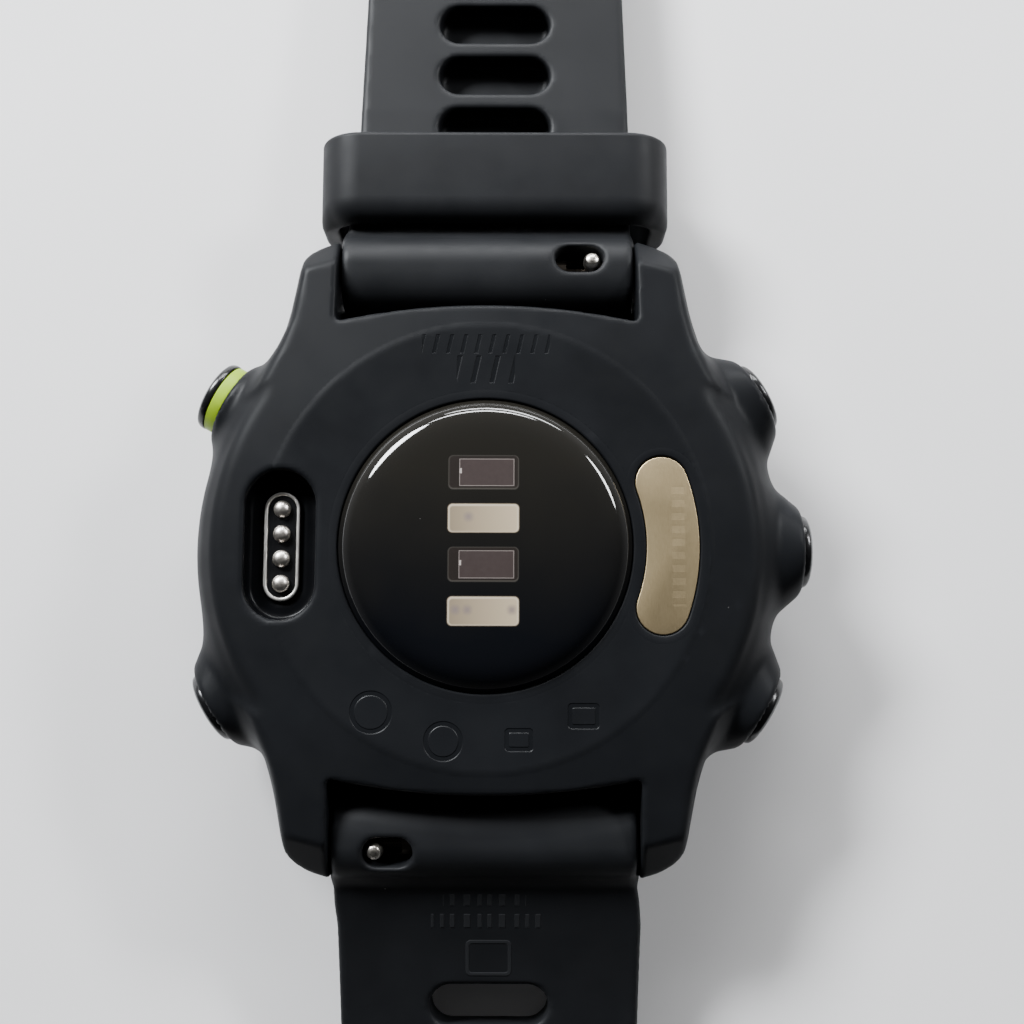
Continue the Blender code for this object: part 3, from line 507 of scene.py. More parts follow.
    def wearing(self, colour, roughness, normal=None):
        """The finished material."""
        self.feed(self.shader.inputs["Base Color"], colour)
        self.feed(self.shader.inputs["Roughness"], roughness)
        if normal is not None:
            self.tree.links.new(normal, self.shader.inputs["Normal"])
        return self.material


def scaled(colour, factor):
    return tuple(min(1, c * factor) for c in colour)


def moulded(name, colour, roughness, grain, dust=0.0, wear_and_highlight_amount=0.25, specular=0.25):
    """Matt moulded plastic or rubber: fine grain, slight clouding, dust, and convex edges painted lighter,
    partly as scuffing and partly as a painted highlight.
    """
    made = Finish(name, specular=specular)
    fine = made.noise(7.0, 4, 0.6)
    shade = made.mix(made.patchy(0.16, 3, 0.0, 1.0), scaled(colour, 0.82), scaled(colour, 1.22))
    # convex edges are painted lighter: partly scuffing, partly a painted highlight
    rubbed_and_highlit = tuple(c * 2.6 + 0.01 for c in colour)
    edge_wear_and_highlight = made.times(made.edges(), made.remap(made.noise(0.7, 3), 0.35, 0.75, 0, wear_and_highlight_amount))
    shade = made.mix(edge_wear_and_highlight, shade, rubbed_and_highlit)
    if dust:
        shade = made.dusted(shade, 1.3, 0.045, dust, 0.5, (0.42, 0.41, 0.39))
    rough = made.plus(made.patchy(0.5, 4, roughness - 0.05, roughness + 0.05), made.times(fine, 0.04))
    return made.wearing(shade, rough, made.bump(fine, grain, 0.6))


def case_finish():
    """The case's polymer, with shallow blank marks round its back."""
    made = Finish("case_polymer", specular=0.09)
    colour = (0.0062, 0.0067, 0.0078)
    fine = made.noise(8.0, 4, 0.6)
    shade = made.mix(made.patchy(0.16, 3, 0.0, 1.0), scaled(colour, 0.88), scaled(colour, 1.15))
    # convex edges are painted lighter: partly scuffing, partly a painted highlight
    edge_wear_and_highlight = made.times(made.edges(0.53, 0.62), made.remap(made.noise(0.7, 3), 0.35, 0.75, 0, 0.12))
    shade = made.mix(edge_wear_and_highlight, shade, (0.035, 0.037, 0.042))
    marks = case_marks(made)
    shade = made.mix(made.times(marks, 0.16), shade, (0.004, 0.0045, 0.005))
    # painted shade: the port recess is painted darker below the back face, and made glossier
    inside = made.remap(made.z, BACK_Z - 0.2, BACK_Z - 0.45)
    port = made.times(made.box(PORT_X + PORT_SHIFT, 0.0, 2.42, 4.98, 2.4, 0.08), inside)
    shade = made.mix(port, shade, (0.0022, 0.0024, 0.003))
    shade = made.dusted(shade, 1.2, 0.03, 0.06, 0.35, (0.30, 0.29, 0.28))
    base_rough = made.patchy(0.45, 4, 0.40, 0.50)
    rough = made.minus(base_rough, made.times(made.larger(marks, port), 0.14))
    grain = made.bump(fine, 0.005, 0.6)
    sunk = made.bump(made.minus(1.0, marks), 0.04, 0.9, grain)
    return made.wearing(shade, rough, sunk)


def case_marks(made):
    """Blank sunk marks where such a case carries lettering: rows of leaning bars, rings and tiles."""
    on_back = made.remap(made.z, BACK_Z - 0.12, BACK_Z - 0.06)
    bars = None
    rows = ((13.2, 4.2, 0.62, 0.46), (11.5, 1.9, 0.9, 0.62))
    for y, half_x, half_y, pitch in rows:
        row = made.box(0.0, y, half_x, half_y, 0.0, 0.02)
        leant = made.minus(made.x, made.times(made.minus(made.y, y), 0.22))
        step = made.waves(made.plus(leant, half_x + pitch), pitch)
        stripe = made.remap(step, pitch * 0.7, pitch * 0.8)
        row = made.times(row, stripe)
        bars = row if bars is None else made.larger(bars, row)
    for x, y, outer in ((-7.2, -10.7, 1.35), (-2.6, -12.5, 1.25)):
        tile = made.box(x, y, outer, outer, outer * 0.98, 0.03)
        hole = made.box(x, y, outer - 0.3, outer - 0.3, (outer - 0.3) * 0.98, 0.03)
        ring = made.minus(tile, hole, clamp=True)
        bars = made.larger(bars, ring)
    for x, y, half in ((2.2, -12.4, 0.9), (6.3, -10.9, 1.0)):
        tile = made.box(x, y, half, half * 0.8, 0.25, 0.03)
        hole = made.box(x, y, half - 0.28, half * 0.8 - 0.28, 0.1, 0.03)
        bars = made.larger(bars, made.minus(tile, hole, clamp=True))
    return made.times(bars, on_back)


def gloss_black(name, roughness, dust=0.04):
    """Polished black plastic, faintly scuffed."""
    made = Finish(name, specular=0.4)
    shade = made.mix(made.patchy(0.4, 3, 0.0, 1.0), (0.004, 0.004, 0.0045), (0.008, 0.008, 0.0085))
    shade = made.dusted(shade, 1.1, 0.03, dust, 0.4, (0.35, 0.34, 0.32))
    rough = made.remap(made.noise(2.2, 5, 0.65), 0.3, 0.75, roughness * 0.8, roughness * 1.6)
    return made.wearing(shade, rough, made.bump(made.noise(1.2, 3), 0.004, 0.3))


def metal(name, colour, roughness, along=(1, 1, 1), depth=0.003, tarnish=0.15):
    """Drawn, turned or brushed metal: along stretches the grain."""
    made = Finish(name, metallic=1.0)
    grain = made.noise(6.0, 5, 0.7, made.stretched(*along))
    patch = made.noise(0.8, 3)
    shade = made.mix(made.remap(patch, 0.3, 0.75, 0, tarnish), colour, scaled(colour, 0.45))
    shade = made.mix(made.remap(grain, 0.3, 0.7, 0, 0.25), shade, scaled(colour, 1.25))
    rough = made.remap(grain, 0.25, 0.75, roughness * 0.8, roughness * 1.3)
    return made.wearing(shade, rough, made.bump(grain, depth, 0.5))


def release_finish():
    """Steel with a bright knob, polished by use; below the knob the steel is painted dark, a painted shade
    for where it sits inside the strap.
    """
    made = Finish("release_steel_painted_shade", metallic=1.0)
    grain = made.noise(5.0, 4, 0.6)
    bright = made.mix(grain, (0.66, 0.62, 0.55), (0.78, 0.74, 0.67))
    # painted shade: the steel below the knob is painted dark
    shade = made.mix(made.remap(made.z, BAR_Z + 0.8, BAR_Z + 1.05), (0.05, 0.042, 0.035), bright)
    return made.wearing(shade, made.remap(grain, 0.25, 0.75, 0.24, 0.34), made.bump(grain, 0.003, 0.5))


def plate_finish():
    """Brushed champagne steel, with a faint row of blank etched dashes."""
    made = Finish("serial_plate_steel", metallic=1.0)
    brushed = made.noise(6.0, 5, 0.7, made.stretched(8.0, 0.5, 1.0))
    shade = made.mix(made.remap(brushed, 0.3, 0.7), (0.47, 0.365, 0.205), (0.54, 0.43, 0.255))
    column = made.box(12.45, 0.0, 0.42, 3.9, 0.0, 0.04)
    dash = made.remap(made.waves(made.plus(made.y, 4.4), 0.42), 0.17, 0.22)
    etched = made.times(column, dash)
    shade = made.mix(made.times(etched, 0.05), shade, (0.28, 0.23, 0.17))
    rough = made.plus(made.remap(brushed, 0.25, 0.75, 0.40, 0.47), made.times(etched, 0.03))
    normal = made.bump(brushed, 0.004, 0.6)
    return made.wearing(shade, rough, made.bump(made.minus(1.0, etched), 0.004, 0.5, normal))


def dome_finish():
    """Black gloss with the four optical windows seen through it, plus a painted reflection and painted light
    and shade on the windows.
    """
    made = Finish("sensor_dome", roughness=0.05)
    low, high = box_mm("detector_upper")
    half_x = (high.x - low.x) / 2 - 0.02
    # painted reflection: warm black towards +Y, bluish black towards -Y, wandering in soft patches
    painted_reflection_ramp = made.plus(made.y, made.patchy(0.2, 2, -1.0, 1.0))
    shade = made.mix(made.remap(painted_reflection_ramp, -6.0, 5.0), (0.0030, 0.0034, 0.0046), (0.0100, 0.0092, 0.0076))
    grain = made.noise(3.0, 3)
    for name in ("detector_upper", "detector_lower"):
        at = middle_mm(name)
        # painted highlight: a lighter border round each detector window, widest along its -Y edge
        body = made.box(at.x, at.y, half_x, 1.1, 0.3, 0.04)
        shade = made.mix(body, shade, (0.045, 0.041, 0.036))
        well = made.box(at.x, at.y + 0.03, half_x - 0.05, 1.04, 0.27, 0.03)
        shade = made.mix(well, shade, (0.017, 0.014, 0.0125))
        die = made.box(at.x + 0.2, at.y, 1.75, 0.88, 0.0, 0.02)
        shade = made.mix(die, shade, made.mix(grain, (0.036, 0.027, 0.026), (0.046, 0.036, 0.034)))
        inner = made.box(at.x + 0.2, at.y, 1.715, 0.845, 0.0, 0.02)
        line = made.minus(die, inner, clamp=True)
        notch = made.box(at.x - 1.47, at.y + 0.1, 0.07, 0.16, 0.0, 0.02)
        shade = made.mix(made.larger(made.times(line, 0.55), notch), shade, (0.34, 0.30, 0.28))
    for name, dots in (("emitter_upper", (-1.05,)), ("emitter_lower", (-1.85, -1.1, 1.72))):
        at = middle_mm(name)
        # painted highlight: a light rim round each emitter window, widest along its +Y edge
        rim = made.box(at.x, at.y, half_x, 0.9, 0.28, 0.04)
        outline = made.box(at.x, at.y, half_x + 0.05, 0.95, 0.3, 0.03)
        shade = made.mix(outline, shade, (0.045, 0.034, 0.024))
        shade = made.mix(rim, shade, (0.48, 0.41, 0.31))
        face = made.box(at.x, at.y - 0.04, half_x - 0.09, 0.82, 0.22, 0.05)
        # painted shade across each emitter's face: darker towards -X
        face_painted_shade = made.mix(made.remap(made.x, -2.3, 2.2), (0.205, 0.165, 0.115), (0.40, 0.325, 0.225))
        shade = made.mix(face, shade, face_painted_shade)
        for x in dots:
            dot = made.box(x, at.y + 0.08, 0.24, 0.24, 0.2, 0.16)
            shade = made.mix(made.times(dot, 0.75), shade, (0.16, 0.13, 0.13))
    shade = made.dusted(shade, 1.4, 0.03, 0.08, 0.35, (0.30, 0.29, 0.27))
    rough = made.remap(made.noise(1.6, 5, 0.7), 0.35, 0.8, 0.025, 0.09)
    return made.wearing(shade, rough, made.bump(made.noise(0.5, 2), 0.004, 0.25))


def strap_finish():
    """Silicone rubber: matt, faintly dusty, with two blank rows and a frame pressed into the lower half."""
    made = Finish("strap_rubber", specular=0.155)
    fine = made.noise(7.0, 4, 0.6)
    cloud = made.patchy(0.16, 3, 0.0, 1.0)
    shade = made.mix(cloud, (0.0068, 0.0073, 0.0084), (0.0090, 0.0096, 0.0110))
    shade = made.dusted(shade, 1.3, 0.035, 0.04, 0.4, (0.36, 0.35, 0.34))
    rows = made.larger(made.box(0.3, -24.3, 3.8, 0.45, 0.0, 0.03), made.box(0.0, -22.9, 2.7, 0.38, 0.0, 0.03))
    leant = made.plus(made.x, made.times(made.math("SINE", made.times(made.x, 2.3)), 0.12))
    stripes = made.remap(made.waves(leant, 0.4), 0.22, 0.27)
    marks = made.times(rows, stripes)
    outer = made.box(0.25, -26.8, 1.5, 1.2, 0.35, 0.03)
    inner = made.box(0.25, -26.8, 1.28, 0.98, 0.2, 0.03)
    marks = made.larger(marks, made.minus(outer, inner, clamp=True))
    marks = made.times(marks, made.remap(made.z, 3.4, 3.6))
    shade = made.mix(made.times(marks, 0.5), shade, (0.022, 0.023, 0.025))
    rough = made.plus(made.patchy(0.5, 4, 0.44, 0.54), made.times(fine, 0.04))
    grain = made.bump(fine, 0.006, 0.6)
    return made.wearing(shade, rough, made.bump(marks, 0.04, 0.9, grain))


def display_finish():
    """An unlit reflective display: a fine grid of dots inside a black mask."""
    made = Finish("display_unlit", roughness=0.25)
    active = made.remap(made.length(made.x, made.y), 13.2, 13.15)
    cell = 0.125
    grid_x = made.remap(made.waves(made.x, cell), 0.0, 0.02)
    grid_y = made.remap(made.waves(made.y, cell), 0.0, 0.02)
    dots = made.times(grid_x, grid_y)
    shade = made.mix(dots, (0.03, 0.033, 0.032), (0.060, 0.068, 0.064))
    shade = made.mix(active, (0.004, 0.004, 0.004), shade)
    rough = made.patchy(1.5, 3, 0.22, 0.32)
    return made.wearing(shade, rough, made.bump(dots, 0.002, 0.4))


def clear_glass():
    """Clear front glass with faint smears."""
    made = Finish("front_glass", roughness=0.02)
    made.shader.inputs["Transmission Weight"].default_value = 1.0
    made.shader.inputs["IOR"].default_value = 1.5
    tint = made.mix(made.noise(0.3, 2), (0.96, 0.97, 0.97), (0.98, 0.98, 0.98))
    rough = made.remap(made.noise(1.6, 5, 0.7), 0.4, 0.85, 0.01, 0.05)
    return made.wearing(tint, rough)


def board_finish():
    """Green solder mask over copper tracks."""
    made = Finish("circuit_board", roughness=0.4)
    straight = made.remap(made.waves(made.x, 0.6), 0.48, 0.52)
    slanted = made.remap(made.waves(made.plus(made.y, made.x), 1.1), 1.0, 1.04)
    tracks = made.larger(straight, slanted)
    shade = made.mix(tracks, (0.01, 0.075, 0.03), (0.025, 0.16, 0.06))
    rough = made.patchy(1.0, 3, 0.3, 0.45)
    return made.wearing(shade, rough, made.bump(tracks, 0.02, 0.5))


def foil_finish():
    """Creased silver pouch foil."""
    made = Finish("battery_foil", metallic=0.7)
    crease = made.noise(0.9, 4, 0.6)
    shade = made.mix(crease, (0.36, 0.37, 0.39), (0.56, 0.57, 0.59))
    return made.wearing(shade, made.remap(crease, 0.3, 0.7, 0.25, 0.45), made.bump(crease, 0.05, 0.6))


def resin_finish(name, colour):
    """Slightly milky resin."""
    made = Finish(name)
    shade = made.mix(made.noise(2.0, 3), scaled(colour, 0.85), colour)
    rough = made.patchy(3.0, 3, 0.2, 0.4)
    return made.wearing(shade, rough, made.bump(made.noise(5.0, 3), 0.004))


def make_finishes():
    return {
        "case": case_finish(),
        "bezel": moulded("bezel_polymer", (0.0065, 0.0070, 0.0080), 0.46, 0.006, 0.05, 0.1, 0.15),
        "strap": strap_finish(),
        "keeper": moulded("keeper_rubber", (0.0074, 0.0079, 0.0091), 0.5, 0.006, 0.03, 0.08, 0.15),
        "cap": gloss_black("button_black", 0.2),
        "bed": gloss_black("contact_bed_black", 0.1, 0.08),
        "accent": moulded("accent_green", (0.30, 0.46, 0.015), 0.38, 0.003, wear_and_highlight_amount=0.1),
        "steel": metal("steel_turned", (0.70, 0.67, 0.62), 0.16),
        "contact": metal("contact_nickel", (0.75, 0.70, 0.64), 0.34),
        "release": release_finish(),
        # the spring bars' steel is painted dark, a painted shade for where they sit inside the strap
        "painted_shade_steel": metal("spring_bar_painted_shade_steel", (0.10, 0.085, 0.07), 0.4, tarnish=0.4),
        "trim": metal("trim_steel", (0.74, 0.72, 0.68), 0.38, (1, 0.4, 1), 0.001, 0.05),
        "plate": plate_finish(),
        "buckle": metal("buckle_black_steel", (0.045, 0.046, 0.05), 0.3, (1, 4, 1), tarnish=0.1),
        "dome": dome_finish(),
        "glass": clear_glass(),
        "display": display_finish(),
        "board": board_finish(),
        "battery": foil_finish(),
        "seal": moulded("seal_rubber", (0.02, 0.02, 0.02), 0.6, 0.004),
        "frame": moulded("frame_plastic", (0.045, 0.045, 0.045), 0.5, 0.006),
        "emitter": resin_finish("emitter_resin", (0.66, 0.61, 0.50)),
        "detector": resin_finish("detector_die", (0.08, 0.06, 0.065)),
    }


# ---------------------------------------------------------------- case


def lug_side(x, y):
    """Distance beyond the outer side of a lug, which bends round its tip."""
    lug_y, lug_x = np.array(LUG_LINE).T
    ys = np.linspace(lug_y[0], lug_y[-1], 140)
    xs = np.interp(ys, lug_y, lug_x)
    xs = np.convolve(np.pad(xs, 6, "edge"), np.hanning(15)[1:-1] / np.hanning(15).sum(), "valid")
    lean = np.gradient(xs, ys)
    ay = np.abs(y)
    # the lugs on the buckle side end a little sooner, and the one by the start button is slimmer
    ay = ay + np.where(y < 0, 0.0, 0.3) * np.clip((ay - 18.5) / 2, 0, 1)
    reach = np.interp(ay, ys, xs) + np.minimum(ay - ys[0], 0) * lean[0]
    reach = reach - np.where((x < 0) & (y > 0), 0.42, 0)
    side = (np.abs(x) - reach) / np.hypot(1, np.interp(ay, ys, lean))
    return np.maximum(side, (ay - 21.5) * 0.95 + (np.abs(x) - 10.1) * 0.3)


def case_silhouette(x, y):
    """The case and its four lugs seen from the back, without the button bosses."""
    lugs = meet(lug_side(x, y), 10.0 - np.abs(y), 0.3)
    return join(np.hypot(x, y) - CASE_R, lugs, 0.7)


def bosses(x, y, z):
    """The five bulges round the buttons."""
    made = None
    height = np.abs(z - BUTTON_Z)
    for degrees, _, end in BUTTONS.values():
        a = math.radians(degrees)
        out = x * math.cos(a) + y * math.sin(a)
        across = np.abs(y * math.cos(a) - x * math.sin(a))
        depth = np.maximum(end - out, 0)
        half_w = 2.9 + 0.86 * depth
        half_h = 2.86 + 0.03 * depth
        cone = (np.hypot(across / half_w, height / half_h) - 1) * half_h * 0.8
        one = meet(cone, out - end, 0.3)
        one = np.maximum(one, 14 - out)
        made = one if made is None else join(made, one, 0.8)
    return meet(made, CASE_FRONT + 0.05 - z, 0.2)


def case_distance(x, y, z):
    """The whole case: a low cone with a bevelled shoulder, its lugs, bosses, flat disc and strap slots."""
    radius = np.hypot(x, y)
    outline = case_silhouette(x, y)
    ax, ay = np.abs(x), np.abs(y)
    top = np.maximum(((radius - 14.6) * BACK_SLOPE + (z - BACK_Z + 0.05)) * 0.99, z - BACK_Z + 0.04)
    bevel = 1.35 - 0.85 * np.clip((ay - 10.5) / 4, 0, 1)
    shoulder = (outline + bevel) * 0.76 + (z - 9.5) * 0.65
    body = meet(meet(top, shoulder, 0.35), outline, 0.8)
    # the lug tips are cut off at a slant, on the wrist side and on the front
    tip = ay + 0.28 * (ax - 10.2)
    body = meet(body, (z - 8.75) * 0.75 + (tip - 19.7) * 0.66, 0.15)
    body = meet(body, (3.4 - z) * 0.8 + (ay - 20.2) * 0.6, 0.4)
    body = join(body, bosses(x, y, z), 0.9)
    disc = meet(radius - BACK_DISC_R, z - BACK_Z, 0.05)
    body = meet(join(body, disc, 0.05), CASE_FRONT - z, 0.12)
    # the slots for the strap end in a wall that bulges towards the strap, with a lip at its foot
    wall = 50 - np.hypot(x, ay + 50 - 15.92)
    slot = meet(ax - LUG_INNER_X, wall, 0.4)
    body = cut(body, np.maximum(slot, np.minimum(3.6 - z, 17.25 - ay)), 0.22)
    return hollowed(body, x, y, z, radius)


def hollowed(body, x, y, z, radius):
    """The case with its inside, port, plate pocket, sensor seat and button bores cut out."""
    room = meet(meet(radius - ROOM_R, np.abs(y) - 14.4, 0.3), z - 9.1, 0.2)
    housing = meet(stadium(x - PORT_X, y, 3.2, 5.9), 7.5 - z, 0.2)
    body = cut(body, cut(room, housing, 0.1), 0.1)
    port = meet(stadium(x - PORT_X - PORT_SHIFT, y, 2.3, 4.86), PORT_FLOOR - z, 0.4)
    body = cut(body, port, 0.28)
    bed = stadium(x - PORT_X, y, TRIM_HALF.x + 0.05, TRIM_HALF.y + 0.05)
    body = cut(body, np.maximum(bed, z - 9.3), 0.02)
    plate = arc_band(x, y, PLATE_ARC_R, 1.98, PLATE_ARC_HALF)
    body = cut(body, meet(plate, PLATE_LOW - 0.05 - z, 0.05), 0.1)
    body = cut(body, np.maximum(radius - SEAT_R, 8 - z), 0.1)
    for name, (degrees, outset, _) in BUTTONS.items():
        floor = 19.78 + outset - (0.35 if name == "start" else 0)
        a = math.radians(degrees)
        out = x * math.cos(a) + y * math.sin(a)
        across = y * math.cos(a) - x * math.sin(a)
        reach = np.hypot(across, z - BUTTON_Z)
        seat = np.maximum(reach - CAP_R - 0.11, floor - out)
        bore = np.maximum(reach - STEM_R - 0.04, 14 - out)
        body = cut(body, np.minimum(seat, bore), 0.16)
    tips = np.hypot(np.abs(y) - BAR_Y, z - BAR_Z) - 0.5
    return cut(body, np.maximum(tips, np.abs(x) - 11.3), 0.05)


def make_case(finishes):
    reach_x, reach_y = 21.4, 22.0
    grid = (
        spaced(-reach_x, reach_x, SHELL_STEP),
        spaced(-reach_y, reach_y, SHELL_STEP),
        spaced(CASE_FRONT - 0.4, BACK_Z + 0.4, SHELL_STEP),
    )
    rim = [
        (9.55, 9.3), (9.55, BACK_Z - 0.06), (9.59, BACK_Z - 0.005), (9.69, BACK_Z + 0.01),
        (10.08, BACK_Z + 0.006), (10.32, BACK_Z - 0.014), (10.32, 9.8), (10.0, 9.3),
    ]
    outline = arc_band_outline(PLATE_ARC_R, 1.76, PLATE_ARC_HALF)
    points, normals = outline_normals(outline)
    lip = [(0, PLATE_LOW - 0.2), (0, BACK_Z - 0.08), (0.04, BACK_Z - 0.02), (0.12, BACK_Z + 0.008),
           (0.5, BACK_Z + 0.005), (0.68, BACK_Z - 0.014), (0.68, PLATE_LOW - 0.2)]
    frame_lip = []
    for (x, y), (nx, ny) in zip(points, normals):
        frame_lip += [(x + nx * out, y + ny * out, z) for out, z in lip]
    rings = merged(skin(case_distance, *grid), turned(rim, 180, True),
                   (frame_lip, grid_faces(len(points), len(lip), True)))
    shell = piece("case_shell", *rings, finishes["case"], sharp=70)
    stands_for(shell, "rear_case", "case")


# ---------------------------------------------------------------- front


def make_front(finishes):
    profile = [
        (15.72, 0.05), (16.1, TABLE_Z), (17.5, TABLE_Z), (18.55, 0.1), (19.12, 0.85), (CASE_R - 0.02, 1.7),
        (CASE_R - 0.02, 2.1), (CASE_R - 0.22, 2.2), (CASE_R - 0.02, 2.3), (CASE_R - 0.02, CASE_FRONT - 0.06),
        (17.1, CASE_FRONT - 0.06), (17.1, 2.3), (14.2, 2.3), (14.2, 1.4), (15.72, 1.4),
    ]
    bezel = piece("bezel_ring", *turned(eased(profile, 0.16, True), 144, True), finishes["bezel"])
    stands_for(bezel, "front_bezel", "case")
    edge = [(0, 0), (GLASS_R - 0.25, 0), (GLASS_R, 0.25), (GLASS_R, GLASS_T), (0, GLASS_T)]
    glass = piece("front_glass_pane", *turned(eased(edge, 0.1), 128), finishes["glass"])
    stands_for(glass, "front_lens", "case")


# ---------------------------------------------------------------- back: sensor, port and plate


def dome_height(radius):
    """The dome's outer surface: a shallow cap that turns down towards its rim."""
    share = radius / DOME_R
    return WINDOW_TOP - 0.38 * share**2 - 0.62 * share**14


def make_back(finishes):
    foot = box_mm("sensor_window")[0].z
    radii = [DOME_R * math.sin(math.pi / 2 * k / 40) for k in range(41)]
    cap = [(radius, dome_height(radius)) for radius in radii]
    rim = [(9.3, 10.26), (9.45, 10.2), (9.52, 10.1), (9.52, foot), (8.56, foot), (8.56, 10.05)]
    under = [(8.5 * (1 - k / 8), 10.12 + 0.6 * (1 - (1 - k / 8) ** 2)) for k in range(9)]
    dome = piece("sensor_dome", *turned(cap + rim + under, 144), finishes["dome"], sharp=50)
    stands_for(dome, "sensor_window", "case")
    make_port(finishes)
    outline = arc_band_outline(PLATE_ARC_R, 1.7, PLATE_ARC_HALF)
    plate = piece("plate_steel", *slab(outline, PLATE_LOW, PLATE_HIGH, 0.07), finishes["plate"])
    stands_for(plate, "serial_plate", "case")


def arc_band_outline(radius, half, half_angle):
    """Counter-clockwise points round a band along an arc, with half-round ends."""
    points = []
    for sign in (1, -1):
        for k in range(25):
            a = half_angle * sign * (2 * k / 24 - 1)
            r = radius + sign * half
            points.append((r * math.cos(a), r * math.sin(a)))
        end = sign * half_angle
        centre = (radius * math.cos(end), radius * math.sin(end))
        for k in range(1, 14):
            a = end + math.pi * k / 14 + (0 if sign > 0 else math.pi)
            points.append((centre[0] + half * math.cos(a), centre[1] + half * math.sin(a)))
    return points


def make_port(finishes):
    width = 0.24
    half_x, half_y = TRIM_HALF.x - width / 2, TRIM_HALF.y - width / 2
    outline = rounded_outline(half_x, half_y, half_x - 0.002, 12, (PORT_X, 0))
    half_h = (TRIM_TOP - PORT_FLOOR) / 2
    section = rounded_outline(width / 2, half_h, 0.08, 3)
    points, normals = outline_normals(outline)
    vertices = [(x + nx * out, y + ny * out, PORT_FLOOR + half_h + up)
                for (x, y), (nx, ny) in zip(points, normals) for out, up in section]
    ring = piece("port_trim_ring", vertices, grid_faces(len(points), len(section), True), finishes["trim"])
    stands_for(ring, "contact_trim", "case")
    inner = (TRIM_HALF.x - width - 0.02, TRIM_HALF.y - width - 0.02)
    outline = rounded_outline(*inner, inner[0] - 0.002, 12, (PORT_X, 0))
    bed_low = box_mm("contact_block")[0].z
    bed = piece("port_contact_bed", *slab(outline, bed_low, TRIM_TOP - 0.1, 0.06), finishes["bed"])
    stands_for(bed, "contact_block", "case")
    for number in range(1, 5):
        node = f"charge_contact_{number}"
        low, high = box_mm(node)
        centre = (low + high) / 2
        radius = (high.x - low.x) / 2
        angles = [math.pi / 2 * k / 10 for k in range(11)]
        dome = [(radius * math.cos(a), TRIM_TOP + (high.z - TRIM_TOP) * math.sin(a)) for a in angles]
        stem = [(0, low.z), (0.4, low.z), (0.4, TRIM_TOP - 0.12), (radius, TRIM_TOP - 0.12)]
        contact = turned(stem + dome, 40)
        shifted = [(x + centre.x, y + centre.y, z) for x, y, z in contact[0]]
        tip = piece(f"contact_tip_{number}", shifted, contact[1], finishes["contact"])
        stands_for(tip, node, "case")


# ---------------------------------------------------------------- buttons


def make_button(name, finishes):
    body = f"{name}_button"
    degrees, reach, _ = BUTTONS[name]
    place = along_x(degrees, (0, 0, BUTTON_Z))
    face, cap_foot = CAP_FACE + reach, CAP_FOOT + reach
    ring_end = cap_foot + 0.5
    foot = ring_end + 0.05 if name == "start" else cap_foot
    profile = [
        (0, face), (1.45, face - 0.04), (1.7, face - 0.12), (2.1, face - 0.17), (CAP_R - 0.08, face - 0.32),
        (CAP_R, face - 0.55), (CAP_R, foot), (STEM_R, foot), (STEM_R, foot + 0.12), (0, foot + 0.12),
    ]
    vertices, faces = turned(eased(profile, 0.1), 72)
    cap = piece(f"{name}_button_cap", placed(vertices, place), faces, finishes["cap"])
    stands_for(cap, f"{name}_cap", body)
    if name == "start":
        outer = CAP_R - 0.04
        ring_foot = cap_foot - 0.3
        band = [(STEM_R, ring_foot), (outer, ring_foot), (outer, ring_end), (STEM_R, ring_end)]
        vertices, faces = turned(eased(band, 0.06, True), 72, True)
        ring = piece("start_green_ring", placed(vertices, place), faces, finishes["accent"])
        stands_for(ring, "start_accent_ring", body)


# ---------------------------------------------------------------- strap


def strap_middle(y, run):
    """Height of the strap's middle surface over the spring bar."""
    start_z = -1.0
    share = np.clip((y - NECK_Y) / run["fall"], 0, 1)
    return start_z + (run["rest_z"] - start_z) * (1 - (1 - share) ** 2)


def strap_half_t(y):
    """Half the strap's thickness, which is more near the case."""
    return (STRAP_T + STRAP_EXTRA_T * np.clip((30 - y) / 18, 0, 1)) / 2


def off_centre(x, y, run):
    """The strap lies a little to one side once it has left the lugs."""
    return x - run["shift"] * np.clip((y - NECK_Y) / 3, 0, 1)


def strap_plan(x, y, run):
    """Distance beyond the strap's sides: as wide as the barrel at first, then narrowing slowly."""
    half_w = np.maximum(STRAP_MIN_HALF_W, run["half_w"] - run["taper"] * np.maximum(y, 0))
    eased_in = BARREL_HALF_W + (half_w - BARREL_HALF_W) * np.clip((y - 2.0) / 2, 0, 1)
    return np.abs(off_centre(x, y, run)) - eased_in


def strap_root(x, y, z, run):
    """Barrel, neck and flat of a strap half, before its slots. A blunt nose points at the case."""
    flat = meet(strap_plan(x, y, run), np.abs(z - strap_middle(y, run)) - strap_half_t(y), 0.4)
    flat = np.maximum(flat, -y)
    nose = ((np.abs(y) / NOSE_REACH) ** NOSE_POWER + (np.abs(z) / BARREL_R) ** NOSE_POWER) ** (1 / NOSE_POWER)
    barrel = np.where(y < 0, (nose - 1) * BARREL_R, np.hypot(y, z) - BARREL_R)
    barrel = meet(barrel, np.abs(x) - BARREL_HALF_W, 0.4)
    return join(barrel, flat, 0.7)


def bar_cuts(body, x, y, z):
    """Cuts the spring bar's bore and the knob's window, which leans away from the case."""
    body = cut(body, np.hypot(y, z) - 1.0, 0.15)
    along = y * math.cos(KNOB_LEAN) - z * math.sin(KNOB_LEAN)
    up = z * math.cos(KNOB_LEAN) + y * math.sin(KNOB_LEAN)
    window = meet(stadium(x - KNOB_WINDOW_X, along, 1.62, 0.98), -up, 0.05)
    return cut(body, window, 0.28)


